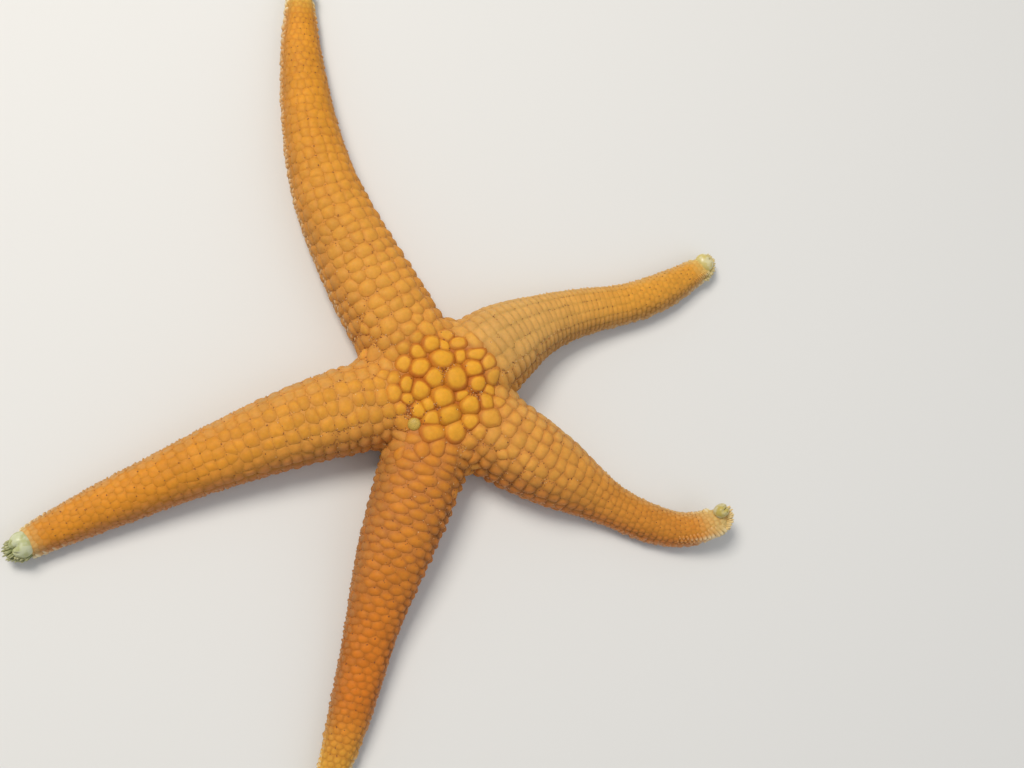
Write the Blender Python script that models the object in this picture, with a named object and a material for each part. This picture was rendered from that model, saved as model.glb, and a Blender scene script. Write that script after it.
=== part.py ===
"""A five-armed starfish, life size, lying flat on its underside.

Metres, +Z up, the floor at z = 0. The origin is under the middle of the whole animal's box.
Each arm is one sweep out from the centre of the disc, cut square across into lengths.
"""

import math
import random
from typing import NamedTuple

import bmesh
import bpy
from mathutils import Matrix, Vector
from mathutils.bvhtree import BVHTree

MM = 0.001
GAP = 0.3 * MM  # left between two nodes that touch

# The disc's centre, from the middle of the animal's box
DISC_CENTRE = Vector((10.2, -6.1, 0)) * MM


class Arm(NamedTuple):
    """One arm, in millimetres. Headings and widths are at even shares of the reach."""

    name: str
    reach: float  # along the arm, from the disc's centre to the tip
    headings: tuple  # degrees in plan, anticlockwise from +X
    widths: tuple
    tip_rise: float  # how far the tip curls up off the floor
    colour: tuple


ORANGE = (0.66, 0.24, 0.05)
RED_ORANGE = (0.62, 0.17, 0.03)
ARMS = (
    Arm("north", 117, (127, 121, 116, 103, 96, 90), (21.5, 22.2, 19.4, 15.2, 10.9, 6.2), 2, ORANGE),
    Arm("east", 87, (41, 38, 24, 14, 28, 38), (21.5, 22.0, 15.0, 11.3, 9.6, 5.8), 1.5, ORANGE),
    Arm("southeast", 86, (322, 329, 333, 334, 350, 402), (21.5, 21.8, 18.8, 11.5, 9.4, 6.6), 6, ORANGE),
    Arm("south", 99, (262, 254, 253, 257, 256, 249), (21.0, 20.8, 18.0, 12.9, 10.1, 6.2), 2, RED_ORANGE),
    Arm("west", 106, (191, 197, 203, 206, 207, 211), (21.5, 21.4, 18.2, 14.2, 10.6, 6.0), 1.5, ORANGE),
)
ARM_ROOT = 20 * MM  # from the disc's centre to the cut that parts an arm from the disc

# The lengths that an arm is cut into, out to its tip: name, share of the reach where it stops,
# rows of plates across it
LENGTHS = (("base", 0.42, 9), ("middle", 0.68, 7), ("end", 0.93, 7))
RISE_STARTS = 0.72  # share of the reach where the tip begins to curl up

# The section across an arm, as shares of its width, its height or its half width
HEIGHT_OF_WIDTH = 0.78
WAIST_HEIGHT = 0.36  # height of the widest point
SECTION_POWER = 2.35  # 2 would be an ellipse, more is squarer
SOLE_EDGE = 0.72  # where the flank meets the floor
FURROW_EDGE = 0.32
FURROW_ROOF = 0.18
FURROW_DEPTH = 0.34

# The rows of plates along an arm
PLATE_PITCH = 0.16  # of the arm's width, from one plate to the next, and this on top
PLATE_PITCH_MORE = 2.1 * MM
PLATE_GROOVE = 0.1  # of the pitch, left round each plate
PLATE_RISE = 0.085  # of the pitch

# Two rows of tube feet in each furrow
FOOT_SIDES = 6
FOOT_PITCH = 0.56  # of the arm's width
FOOT_ACROSS = 0.2  # of the half width
SUCKER_RADIUS = 0.066  # of the arm's width
FEET_END = 0.9  # share of the reach
FOOT_PROFILE = ((0, 1), (0.25, 0.55), (1.25, 0.7))  # height in furrow depths, radius in sucker radii

# Blunt spines along both edges of an arm's last stretch, and in a fan round its tip
SPINE_PITCH = 3.8 * MM
SPINE_LENGTH = 1.7 * MM
SPINE_WIDTH = 1.5 * MM
SPINE_THICKNESS = 0.9 * MM
SPINE_ROOT = 1.2 * MM
SPINES_START = 0.6  # share of the reach
SPINE_HEIGHT = 0.9  # share of the way from the arm's top line down to its sole
SPINE_LEAN = 0.45  # towards the tip, for each part out to the side
SPINE_TAPER = 0.55
VARIATION = 0.1  # of a foot's or a spine's size, either way

# The rounded tip of an arm, as shares of its own length or of the width where it starts
TIP_ROWS = 7
TIP_STATIONS = (0, 0.45, 0.82, 1)
TIP_BLUNTNESS = 2.6  # 2 would be a round end, more is squarer
TIP_END_WIDTH = 0.14
TIP_SINK = 0.12
TIP_SPINES = 7
TIP_SPINE_FAN = math.radians(100)  # the outermost spines, from straight out
TIP_SPINE_PLACE = 0.55
TIP_SPINE_HEIGHT = 0.22
TIP_SPINE_SPREAD = 0.3
TIP_SPINE_LENGTH = 0.32
END_PLATE_PLACE = 0.45
END_PLATE_HEIGHT = 0.58
END_PLATE_HALF = (0.34, 0.27, 0.39)  # across, up and along the arm

# The disc: how far out the webs between the arms reach, by direction in degrees
DISC_HEIGHT = 17.2 * MM
WEBS = ((3, 19.6), (77, 18.6), (163, 22.4), (228, 18.9), (292, 21.9))
WEB_CLEAR = 1 * MM  # from the disc's edge to the cut that parts an arm from it
DISC_RINGS = 6
DISC_SIDES = 25
ROOT_STATIONS = (0, 0.5, 0.75, 1)  # shares of an arm's root, whose two outer bands have plates

# The disc's plates: places from its centre, lengths and widths, in millimetres
DISC_PLATES = (
    (-1.1, 6.3, 5.4, 4.5),
    (2.4, 1.6, 4.8, 5.6),
    (6.7, 4.2, 4.2, 3.9),
    (7.7, 0.7, 3.8, 3.9),
    (5.8, -4.7, 4.3, 4.7),
    (0.6, -7.3, 5.0, 4.7),
    (-0.9, -3.4, 4.9, 4.8),
    (-6.3, -1.6, 3.9, 4.2),
    (-3.2, 1.4, 4.1, 4.1),
    (-6.4, 3.8, 4.6, 4.0),
    (-3.1, -11.9, 5.0, 4.2),
    (2.4, -11.1, 4.2, 4.6),
    (10.4, -3.7, 3.2, 4.6),
    (10.7, -8.2, 4.3, 4.2),
    (-3.8, 10.1, 5.2, 3.6),
    (2.8, 9.9, 4.4, 3.2),
    (7.2, 8.2, 4.3, 3.4),
    (11.3, 2.6, 3.4, 3.8),
    (-9.9, 0.4, 3.2, 4.2),
    (-12.6, -3.0, 3.4, 4.8),
    (-7.4, 8.4, 4.2, 3.8),
)
DISC_PLATE_RISE = 0.8 * MM
DISC_PLATE_SPREAD = 1.42  # of its size, under the surface

# The mouth in the disc's underside, and the madreporite on its top
ROUND_SIDES = 16
MOUTH_RADIUS = 5.2 * MM
MOUTH_DEPTH = 5.5 * MM
MOUTH_SKIN = 1.2 * MM
MOUTH_PROFILE = ((0, 1), (1, 1), (1.5, 0.55), (0.8, 0.16))  # depth in skins, share of the radius
SIEVE_PLACE = Vector((-7.4, -9.7, 0)) * MM  # from the disc's centre
SIEVE_RADIUS = 1.55 * MM
SIEVE_SINK = 0.9 * MM
SIEVE_PROFILE = ((-1, 1), (0.1, 1), (0.55, 0.8), (0.75, 0.4))  # height in sinks, share of the radius


def material(name, colour, roughness):
    made = bpy.data.materials.new(name)
    made.use_nodes = True
    shader = made.node_tree.nodes["Principled BSDF"]
    shader.inputs["Base Color"].default_value = (*colour, 1)
    shader.inputs["Roughness"].default_value = roughness
    shader.inputs["Metallic"].default_value = 0
    return made


# Curves and sections


def along(values, share):
    """A smooth curve through values that are spread evenly from share 0 to share 1."""
    place = min(max(share, 0), 1) * (len(values) - 1)
    first = min(int(place), len(values) - 2)
    t = place - first
    before = values[max(first - 1, 0)]
    start, end = values[first], values[first + 1]
    after = values[min(first + 2, len(values) - 1)]
    bend = 2 * before - 5 * start + 4 * end - after
    twist = 3 * start - before - 3 * end + after
    return 0.5 * (2 * start + (end - before) * t + bend * t**2 + twist * t**3)


def share_of(arm, distance):
    """How much of the arm's reach lies within this distance of the disc's centre."""
    return distance / (arm.reach * MM)


def at_share(arm, share):
    return share * arm.reach * MM


def walk(arm, distance):
    """The place on the floor this far out along the arm's middle."""
    steps = max(1, round(distance / MM))
    place = DISC_CENTRE.copy()
    for step in range(steps):
        share = share_of(arm, (step + 0.5) / steps * distance)
        heading = math.radians(along(arm.headings, share))
        place += Vector((math.cos(heading), math.sin(heading), 0)) * distance / steps
    return place


def lift(arm, distance):
    past = (share_of(arm, distance) - RISE_STARTS) / (1 - RISE_STARTS)
    return arm.tip_rise * MM * max(past, 0) ** 2


def station(arm, distance):
    """The frame of the section this far out: +X to the arm's left, +Y up, +Z out along the arm."""
    heading = math.radians(along(arm.headings, share_of(arm, distance)))
    slope = (lift(arm, distance + MM) - lift(arm, distance - MM)) / (2 * MM)
    out = Vector((math.cos(heading), math.sin(heading), slope)).normalized()
    left = Vector((-math.sin(heading), math.cos(heading), 0))
    up = out.cross(left)
    place = walk(arm, distance) + Vector((0, 0, lift(arm, distance)))
    return Matrix.Translation(place) @ Matrix((left, up, out)).transposed().to_4x4()


def width_at(arm, distance):
    return along(arm.widths, share_of(arm, distance)) * MM


def flank(width, turn, height=None):
    """A point of the section's outer curve: turn is -1 at the right sole, 0 on top, 1 at the left."""
    half = width / 2
    height = height or width * HEIGHT_OF_WIDTH
    waist = height * WAIST_HEIGHT
    below = waist / (1 - SOLE_EDGE**SECTION_POWER) ** (1 / SECTION_POWER)
    angle = turn * math.atan2(SOLE_EDGE * half, -waist)
    across, up = math.sin(angle), math.cos(angle)
    reach_up = height - waist if up > 0 else below
    scaled = (abs(across) / half) ** SECTION_POWER + (abs(up) / reach_up) ** SECTION_POWER
    radius = scaled ** (-1 / SECTION_POWER)
    return Vector((radius * across, waist + radius * up, 0))


def flank_points(width, rows):
    return [flank(width, 2 * row / rows - 1) for row in range(rows + 1)]


def furrow_points(width):
    half = width / 2
    roof = FURROW_DEPTH * width * HEIGHT_OF_WIDTH
    return [
        Vector((FURROW_EDGE * half, 0, 0)),
        Vector((FURROW_ROOF * half, roof, 0)),
        Vector((-FURROW_ROOF * half, roof, 0)),
        Vector((-FURROW_EDGE * half, 0, 0)),
    ]


def arm_ring(arm, distance, rows, furrow=True):
    """The corners of the section this far out, with the flanks first."""
    width = width_at(arm, distance)
    points = flank_points(width, rows) + (furrow_points(width) if furrow else [])
    frame = station(arm, distance)
    return [frame @ point for point in points]


def oval_ring(frame, out, half_width, half_height, sides):
    """Corners of an oval this far out along a frame's +Z."""
    angles = [math.tau * (side + 0.5) / sides for side in range(sides)]
    return [
        frame @ Vector((half_width * math.cos(angle), half_height * math.sin(angle), out))
        for angle in angles
    ]


def turned_solid(frame, profile, sides):
    """The rings of a turned shape from its profile's heights and radii along a frame's +Z."""
    return [oval_ring(frame, out, radius, radius, sides) for out, radius in profile]


def varied(draw, size):
    return size * draw.uniform(1 - VARIATION, 1 + VARIATION)


# Making solids


def loft(rings):
    """A closed mesh through rings of corners: a filled ring, extruded from one to the next."""
    mesh = bmesh.new()
    cap = mesh.faces.new([mesh.verts.new(point) for point in rings[0]])
    bands = []
    for ring in rings[1:]:
        made = bmesh.ops.extrude_discrete_faces(mesh, faces=[cap])["faces"][0]
        bands.append([face for edge in made.edges for face in edge.link_faces if face is not made])
        for corner, point in zip(made.verts, ring):
            corner.co = point
        cap = made
    bmesh.ops.holes_fill(mesh, edges=mesh.edges)
    return mesh, bands


def finished(mesh, name, collection, finish=None):
    bmesh.ops.recalc_face_normals(mesh, faces=mesh.faces)
    data = bpy.data.meshes.new(name)
    mesh.to_mesh(data)
    mesh.free()
    made = bpy.data.objects.new(name, data)
    collection.objects.link(made)
    if finish:
        data.materials.append(finish)
    return made


def keep_largest_body(data):
    """Drops every closed surface but the largest one."""
    mesh = bmesh.new()
    mesh.from_mesh(data)
    left = set(mesh.faces)
    bodies = []
    while left:
        body, edge_of_body = set(), [left.pop()]
        while edge_of_body:
            face = edge_of_body.pop()
            body.add(face)
            near = {other for edge in face.edges for other in edge.link_faces} & left
            left -= near
            edge_of_body.extend(near)
        bodies.append(body)
    bodies.sort(key=lambda body: sum(face.calc_area() for face in body))
    scraps = [face for body in bodies[:-1] for face in body]
    bmesh.ops.delete(mesh, geom=scraps, context="FACES")
    mesh.to_mesh(data)
    mesh.free()


def combine(target, others, operation):
    """Joins a collection of closed meshes to the target, or cuts them out of it."""
    modifier = target.modifiers.new(operation.lower(), "BOOLEAN")
    modifier.operation = operation
    modifier.operand_type = "COLLECTION"
    modifier.collection = others
    modifier.solver = "MANIFOLD"
    bpy.context.view_layer.update()
    evaluated = target.evaluated_get(bpy.context.evaluated_depsgraph_get())
    result = bpy.data.meshes.new_from_object(evaluated)
    target.modifiers.clear()
    target.data = result
    keep_largest_body(result)
    for other in list(others.objects):
        bpy.data.objects.remove(other)
    bpy.data.collections.remove(others)


def new_collection(name):
    made = bpy.data.collections.new(name)
    bpy.context.scene.collection.children.link(made)
    return made


# The arms


def raise_plates(mesh, band, pitch):
    """Insets each face of one band of plates and lifts it off the groove round it."""
    bmesh.ops.inset_individual(
        mesh, faces=band, thickness=PLATE_GROOVE * pitch, depth=PLATE_RISE * pitch, use_even_offset=True
    )


def plate_stations(arm, start, end):
    """Distances along the arm where one ring of plates ends and the next begins."""
    stations = [start]
    while stations[-1] < end:
        stations.append(stations[-1] + PLATE_PITCH * width_at(arm, stations[-1]) + PLATE_PITCH_MORE)
    stretch = (end - start) / (stations[-1] - start)
    return [start + (station - start) * stretch for station in stations]


def arm_length(arm, part, start, end, rows, collection, finish):
    """One length of an arm, with its plates raised and its furrow open below."""
    stations = plate_stations(arm, start, end)
    mesh, bands = loft([arm_ring(arm, distance, rows) for distance in stations])
    bmesh.ops.recalc_face_normals(mesh, faces=mesh.faces)
    for band, near, far in zip(bands, stations, stations[1:]):
        raise_plates(mesh, band[:rows], far - near)
    made = finished(mesh, f"{arm.name}_{part}", collection, finish)
    fused = new_collection("fused")
    tube_feet(arm, start, end, fused)
    edge_spines(arm, start, end, fused)
    if fused.objects:
        combine(made, fused, "UNION")
    else:
        bpy.data.collections.remove(fused)
    return made


def tube_feet(arm, start, end, collection):
    """Feet in two rows, from the roof of the furrow down to suckers on the floor."""
    draw = random.Random(f"feet {arm.name} {start:.4f}")
    distance = start + 0.5 * FOOT_PITCH * width_at(arm, start)
    last = min(end, at_share(arm, FEET_END)) - 2 * SUCKER_RADIUS * width_at(arm, end)
    while distance < last:
        width = width_at(arm, distance)
        roof = FURROW_DEPTH * width * HEIGHT_OF_WIDTH
        for side in (-1, 1):
            place = station(arm, distance) @ Vector((side * FOOT_ACROSS * width / 2, 0, 0))
            radius = varied(draw, SUCKER_RADIUS * width)
            profile = [(up * roof, wide * radius) for up, wide in FOOT_PROFILE]
            rings = turned_solid(Matrix.Translation(place), profile, FOOT_SIDES)
            finished(loft(rings)[0], "foot", collection)
        distance += FOOT_PITCH * width


def spine(root, direction, flat_way, length, collection):
    """A flat blunt spine with its root sunk in. flat_way is the direction of its width."""
    out = direction.normalized()
    wide = (flat_way - out * flat_way.dot(out)).normalized()
    frame = Matrix.Translation(root) @ Matrix((wide, out.cross(wide), out)).transposed().to_4x4()
    half, thin = SPINE_WIDTH / 2, SPINE_THICKNESS / 2
    rings = [
        oval_ring(frame, -SPINE_ROOT, half, thin, 4),
        oval_ring(frame, length, SPINE_TAPER * half, SPINE_TAPER * thin, 4),
    ]
    finished(loft(rings)[0], "spine", collection)


def edge_spines(arm, start, end, collection):
    """A row of spines along each edge of the underside, leaning out and towards the tip."""
    draw = random.Random(f"spines {arm.name} {start:.4f}")
    distance = max(start, at_share(arm, SPINES_START)) + SPINE_PITCH / 2
    while distance < end - SPINE_PITCH / 2:
        width = width_at(arm, distance)
        frame = station(arm, distance)
        for side in (-1, 1):
            root = frame @ flank(width, side * SPINE_HEIGHT)
            direction = frame.to_3x3() @ Vector((side, 0, varied(draw, SPINE_LEAN)))
            spine(root, direction, frame.col[2].xyz, varied(draw, SPINE_LENGTH), collection)
        distance += SPINE_PITCH


def arm_tip(arm, collection, finish):
    """The rounded end of an arm: a smooth end plate over a fan of spines."""
    start = at_share(arm, LENGTHS[-1][1]) + GAP / 2
    left = arm.reach * MM - start
    whole = width_at(arm, start)
    rings = []
    for share in TIP_STATIONS:
        frame = station(arm, start + share * left)
        width = whole * max(math.sqrt(1 - share**TIP_BLUNTNESS), TIP_END_WIDTH)
        points = flank_points(width, TIP_ROWS) + furrow_points(width)
        sink = Vector((0, TIP_SINK * (whole - width), 0))
        rings.append([frame @ (point + sink) for point in points])
    made = finished(loft(rings)[0], f"{arm.name}_tip", collection, finish)
    fused = new_collection("fused")
    end_plate(station(arm, start + END_PLATE_PLACE * left), whole, fused)
    tip_spines(station(arm, start + TIP_SPINE_PLACE * left), whole, random.Random(arm.name), fused)
    combine(made, fused, "UNION")
    return made


def end_plate(frame, width, collection):
    """The smooth dome on top of an arm's end."""
    mesh = bmesh.new()
    bmesh.ops.create_uvsphere(mesh, u_segments=8, v_segments=6, radius=1)
    bmesh.ops.scale(mesh, vec=Vector(END_PLATE_HALF) * width, verts=mesh.verts)
    dome = frame @ Matrix.Translation((0, END_PLATE_HEIGHT * width, 0))
    bmesh.ops.transform(mesh, matrix=dome, verts=mesh.verts)
    finished(mesh, "dome", collection)


def tip_spines(frame, width, draw, collection):
    """A fan of spines round an arm's end, just over its sole."""
    turned = frame.to_3x3()
    for number in range(TIP_SPINES):
        angle = TIP_SPINE_FAN * (2 * number / (TIP_SPINES - 1) - 1)
        across, out = math.sin(angle), max(math.cos(angle), 0)
        reach = Vector((across, 0, out)) * TIP_SPINE_SPREAD * width
        root = frame @ (reach + Vector((0, TIP_SPINE_HEIGHT * width, 0)))
        direction = turned @ Vector((across, 0, out + SPINE_LEAN / 2))
        level = turned @ Vector((math.cos(angle), 0, -across))
        spine(root, direction, level, varied(draw, TIP_SPINE_LENGTH * width), collection)


# The disc


def disc(collection, finish):
    """The middle of the body: the five arms' roots grown together under one low dome.

    Returns the surface that its plates and the madreporite are set on.
    """
    rings = [web_ring(1 - ring / DISC_RINGS) for ring in range(DISC_RINGS)]
    made = finished(loft(rings)[0], "disc", collection, finish)
    roots = new_collection("roots")
    for arm in ARMS:
        arm_root(arm, roots)
    combine(made, roots, "UNION")
    surface = surface_of(made)
    plates = new_collection("plates")
    for across, up, length, width in DISC_PLATES:
        disc_plate(surface, Vector((across, up, 0)) * MM, length * MM, width * MM, plates)
    combine(made, plates, "UNION")
    cuts = new_collection("cuts")
    for arm in ARMS:
        rings = [furrow_cutter_ring(arm, share * (ARM_ROOT + GAP)) for share in (0, 0.5, 1)]
        finished(loft(rings)[0], "furrow", cuts)
    mouth_hole(cuts)
    sieve_socket(surface, cuts)
    combine(made, cuts, "DIFFERENCE")
    return surface


def web_reach(angle):
    """How far out the disc's edge lies this way: the webs' own reaches, blended by nearness."""
    nearness = [1 / (1.02 - math.cos(angle - math.radians(heading))) for heading, _ in WEBS]
    blended = sum(near * reach for near, (_, reach) in zip(nearness, WEBS)) / sum(nearness)
    facing = max(math.cos(angle - math.radians(arm.headings[0])) for arm in ARMS)
    return min(blended * MM, (ARM_ROOT - WEB_CLEAR) / facing)


def web_ring(turn):
    """Corners round the disc: turn is 1 at its sole and 0 at the middle of its top."""
    corners = []
    for side in range(DISC_SIDES):
        angle = math.tau * (side + 0.5) / DISC_SIDES
        edge = flank(2 * web_reach(angle), turn, DISC_HEIGHT)
        corners.append(DISC_CENTRE + Vector((edge.x * math.cos(angle), edge.x * math.sin(angle), edge.y)))
    return corners


def arm_root(arm, collection):
    """The first stretch of an arm, inside the disc, with plates where it comes clear."""
    rows = LENGTHS[0][2]
    stations = [share * (ARM_ROOT - GAP / 2) for share in ROOT_STATIONS]
    mesh, bands = loft([arm_ring(arm, distance, rows, furrow=False) for distance in stations])
    bmesh.ops.recalc_face_normals(mesh, faces=mesh.faces)
    for band in bands[1:]:
        raise_plates(mesh, band[1 : rows - 1], stations[-1] - stations[-2])
    finished(mesh, "root", collection)


def surface_of(made):
    bpy.context.view_layer.update()
    return BVHTree.FromObject(made, bpy.context.evaluated_depsgraph_get())


def on_surface(surface, place):
    """The point of the disc's top over this place from its centre, and the normal there."""
    above = DISC_CENTRE + place + Vector((0, 0, 50 * MM))
    point, normal, _, _ = surface.ray_cast(above, Vector((0, 0, -1)))
    return point, normal


def disc_plate(surface, place, length, width, collection):
    """A low dome sunk in the disc's top."""
    point, normal = on_surface(surface, place)
    mesh = bmesh.new()
    bmesh.ops.create_uvsphere(mesh, u_segments=8, v_segments=6, radius=1)
    half = Vector((length, width, 0)) * DISC_PLATE_SPREAD / 2
    bmesh.ops.scale(mesh, vec=(half.x, half.y, 2 * DISC_PLATE_RISE), verts=mesh.verts)
    turned = Vector((0, 0, 1)).rotation_difference(normal).to_matrix().to_4x4()
    sunk = point - normal * DISC_PLATE_RISE
    bmesh.ops.transform(mesh, matrix=Matrix.Translation(sunk) @ turned, verts=mesh.verts)
    finished(mesh, "plate", collection)


def furrow_cutter_ring(arm, distance):
    """Corners of an arm's furrow, carried on down through the floor."""
    frame = station(arm, distance)
    points = furrow_points(width_at(arm, distance))
    below = Vector((0, -MOUTH_DEPTH, 0))
    return [frame @ point for point in (points[0] + below, *points, points[3] + below)]


def mouth_hole(collection):
    """The cutter of the round mouth, up from under the floor."""
    profile = ((-MOUTH_DEPTH, MOUTH_RADIUS), (MOUTH_DEPTH, MOUTH_RADIUS))
    rings = turned_solid(Matrix.Translation(DISC_CENTRE), profile, ROUND_SIDES)
    finished(loft(rings)[0], "mouth_hole", collection)


def sieve_frame(surface):
    point, normal = on_surface(surface, SIEVE_PLACE)
    turned = Vector((0, 0, 1)).rotation_difference(normal).to_matrix().to_4x4()
    return Matrix.Translation(point) @ turned


def sieve_socket(surface, collection):
    """The cutter of the shallow round hollow that the madreporite lies in."""
    profile = [(out, SIEVE_RADIUS + GAP) for out in (-SIEVE_SINK - GAP, 4 * SIEVE_SINK)]
    rings = turned_solid(sieve_frame(surface), profile, ROUND_SIDES)
    finished(loft(rings)[0], "socket", collection)


def madreporite(surface, collection, finish):
    """The round sieve plate between the south and west arms."""
    profile = [(up * SIEVE_SINK, wide * SIEVE_RADIUS) for up, wide in SIEVE_PROFILE]
    rings = turned_solid(sieve_frame(surface), profile, ROUND_SIDES)
    return finished(loft(rings)[0], "madreporite", collection, finish)


def mouth(collection, finish):
    """The soft skin round the mouth, dished up to a small hole."""
    roof, rim = MOUTH_DEPTH - GAP, MOUTH_RADIUS - GAP
    profile = [(roof - down * MOUTH_SKIN, wide * rim) for down, wide in MOUTH_PROFILE]
    rings = turned_solid(Matrix.Translation(DISC_CENTRE), profile, ROUND_SIDES)
    return finished(loft(rings)[0], "mouth", collection, finish)


def main():
    for old in list(bpy.data.objects):
        bpy.data.objects.remove(old)
    body = new_collection("starfish")
    pale = material("pale end plate", (0.62, 0.55, 0.22), 0.45)
    surface = disc(body, material("disc plates", (0.80, 0.36, 0.05), 0.4))
    madreporite(surface, body, material("sieve plate", (0.50, 0.42, 0.10), 0.6))
    mouth(body, material("mouth skin", (0.55, 0.30, 0.15), 0.5))
    for arm in ARMS:
        finish = material(f"{arm.name} arm plates", arm.colour, 0.45)
        start = ARM_ROOT + GAP / 2
        for part, share, rows in LENGTHS:
            arm_length(arm, part, start, at_share(arm, share) - GAP / 2, rows, body, finish)
            start = at_share(arm, share) + GAP / 2
        arm_tip(arm, body, pale)


main()
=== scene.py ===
"""A five-armed orange starfish: limy plates packed over one soft skin, on a pale floor.

Metres, +Z up. The body's line, widths and section are worked out here as they are for its solids.
"""

import math
import random
from typing import NamedTuple

import bpy
import numpy as np
from mathutils import Matrix, Vector
from mathutils.bvhtree import BVHTree
from mathutils.kdtree import KDTree


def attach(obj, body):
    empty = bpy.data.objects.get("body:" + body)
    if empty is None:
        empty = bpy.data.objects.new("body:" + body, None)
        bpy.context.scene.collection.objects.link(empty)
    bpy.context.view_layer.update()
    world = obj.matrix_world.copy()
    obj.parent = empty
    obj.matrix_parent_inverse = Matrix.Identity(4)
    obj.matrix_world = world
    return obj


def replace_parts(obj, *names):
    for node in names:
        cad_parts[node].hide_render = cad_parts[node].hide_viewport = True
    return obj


MM = 0.001


def paint(code):
    """A linear colour from an sRGB hex value."""
    parts = [int(code[at : at + 2], 16) / 255 for at in (0, 2, 4)]
    return (*(part / 12.92 if part <= 0.04045 else ((part + 0.055) / 1.055) ** 2.4 for part in parts), 1)


SPINE_ROOT = paint("CDA25C")[:3]  # of the spines, feet and jaws underneath


class Arm(NamedTuple):
    """One arm, in millimetres. Its tuples hold values at even shares of the reach."""

    name: str
    reach: float  # along the arm, from the disc's centre to the tip
    headings: tuple  # degrees in plan, anticlockwise from +X
    widths: tuple
    tip_rise: float  # how far the tip curls up off the floor
    rows: int  # of plates, from sole to sole over the back
    pitches: tuple  # from one ring of plates to the next
    reliefs: tuple  # how high a plate stands over its creases, as a share of its size
    ribs: tuple  # how much more they do low on its left and right flanks
    overlaps: tuple  # how far plates reach, as a share of the way to the line between two, first and last
    merge: float  # how much further they reach over those beside them in their ring
    corners: tuple  # how square a plate's corners are, first and last
    tilt: float  # how much a plate's outer edge stands over the next, as scales do
    disorder: float  # how far plates stray from their rings and rows, as a share of a pitch
    stagger: float  # share of the reach where the rings begin to be laid like bricks
    fringe: tuple  # how long the scales on its left and right edges are, as a share of the kind's
    pale: tuple  # how pale those scales' ends are
    cap: tuple  # the end plate's half width as a share of the arm's, its shift left, its cleft and height
    cap_share: float  # of the reach, where the end plate sits
    pale_from: float  # share of the reach where its tip's colour begins
    fan: tuple  # of fingers round it: their lean outwards, and the way it faces and spreads, in degrees
    comb: tuple  # share of the reach from where fingers stand along its right flank too, their breadth


class Palette(NamedTuple):
    """The colours of one arm's plates, as hex values."""

    inner: str
    outer: str
    # the flank colours are partly painted light and shade: paler and greyer where a flank faced the light
    # from above, darker where it faced away
    left: str  # its left flank, looking out along it
    right: str
    tip: str
    # the creases' colours are partly the redder skin there and partly painted shade
    crease: str
    outer_crease: str
    cap: str
    finger: str


class Site(NamedTuple):
    """Where one plate sits."""

    place: Vector
    normal: Vector
    forward: Vector
    length: float  # half of it, forward
    width: float  # half of it
    rise: float
    owner: str
    overlap: float
    corner: float
    tone: float
    patch: tuple  # its middle on the unwrapped body, and the metres that one unit of it spans
    merge: float = 0
    tilt: float = 0
    share: float = 0  # of the arm's reach
    side: float = 0  # -1 at the arm's right sole, 0 on the back's middle, 1 at the left sole

    @property
    def size(self):
        return math.sqrt(self.length * self.width)

    def reach(self, direction):
        """How far its own outline goes this way."""
        ahead = abs(direction.dot(self.forward)) / self.length
        aside = math.sqrt(max(1 - direction.dot(self.forward) ** 2, 0)) / self.width
        return (ahead**4 + aside**4) ** -0.25


class Copy(NamedTuple):
    """Where one copy of a small thing goes."""

    place: Vector
    out: Vector  # its own +Z
    wide: Vector  # its own +X, made square to out
    size: tuple  # across, through and out
    patch: tuple  # its middle on the baking map
    tone: float
    pale: float = 0  # how pale its end is
    tint: tuple = SPINE_ROOT  # its root's colour


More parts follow.
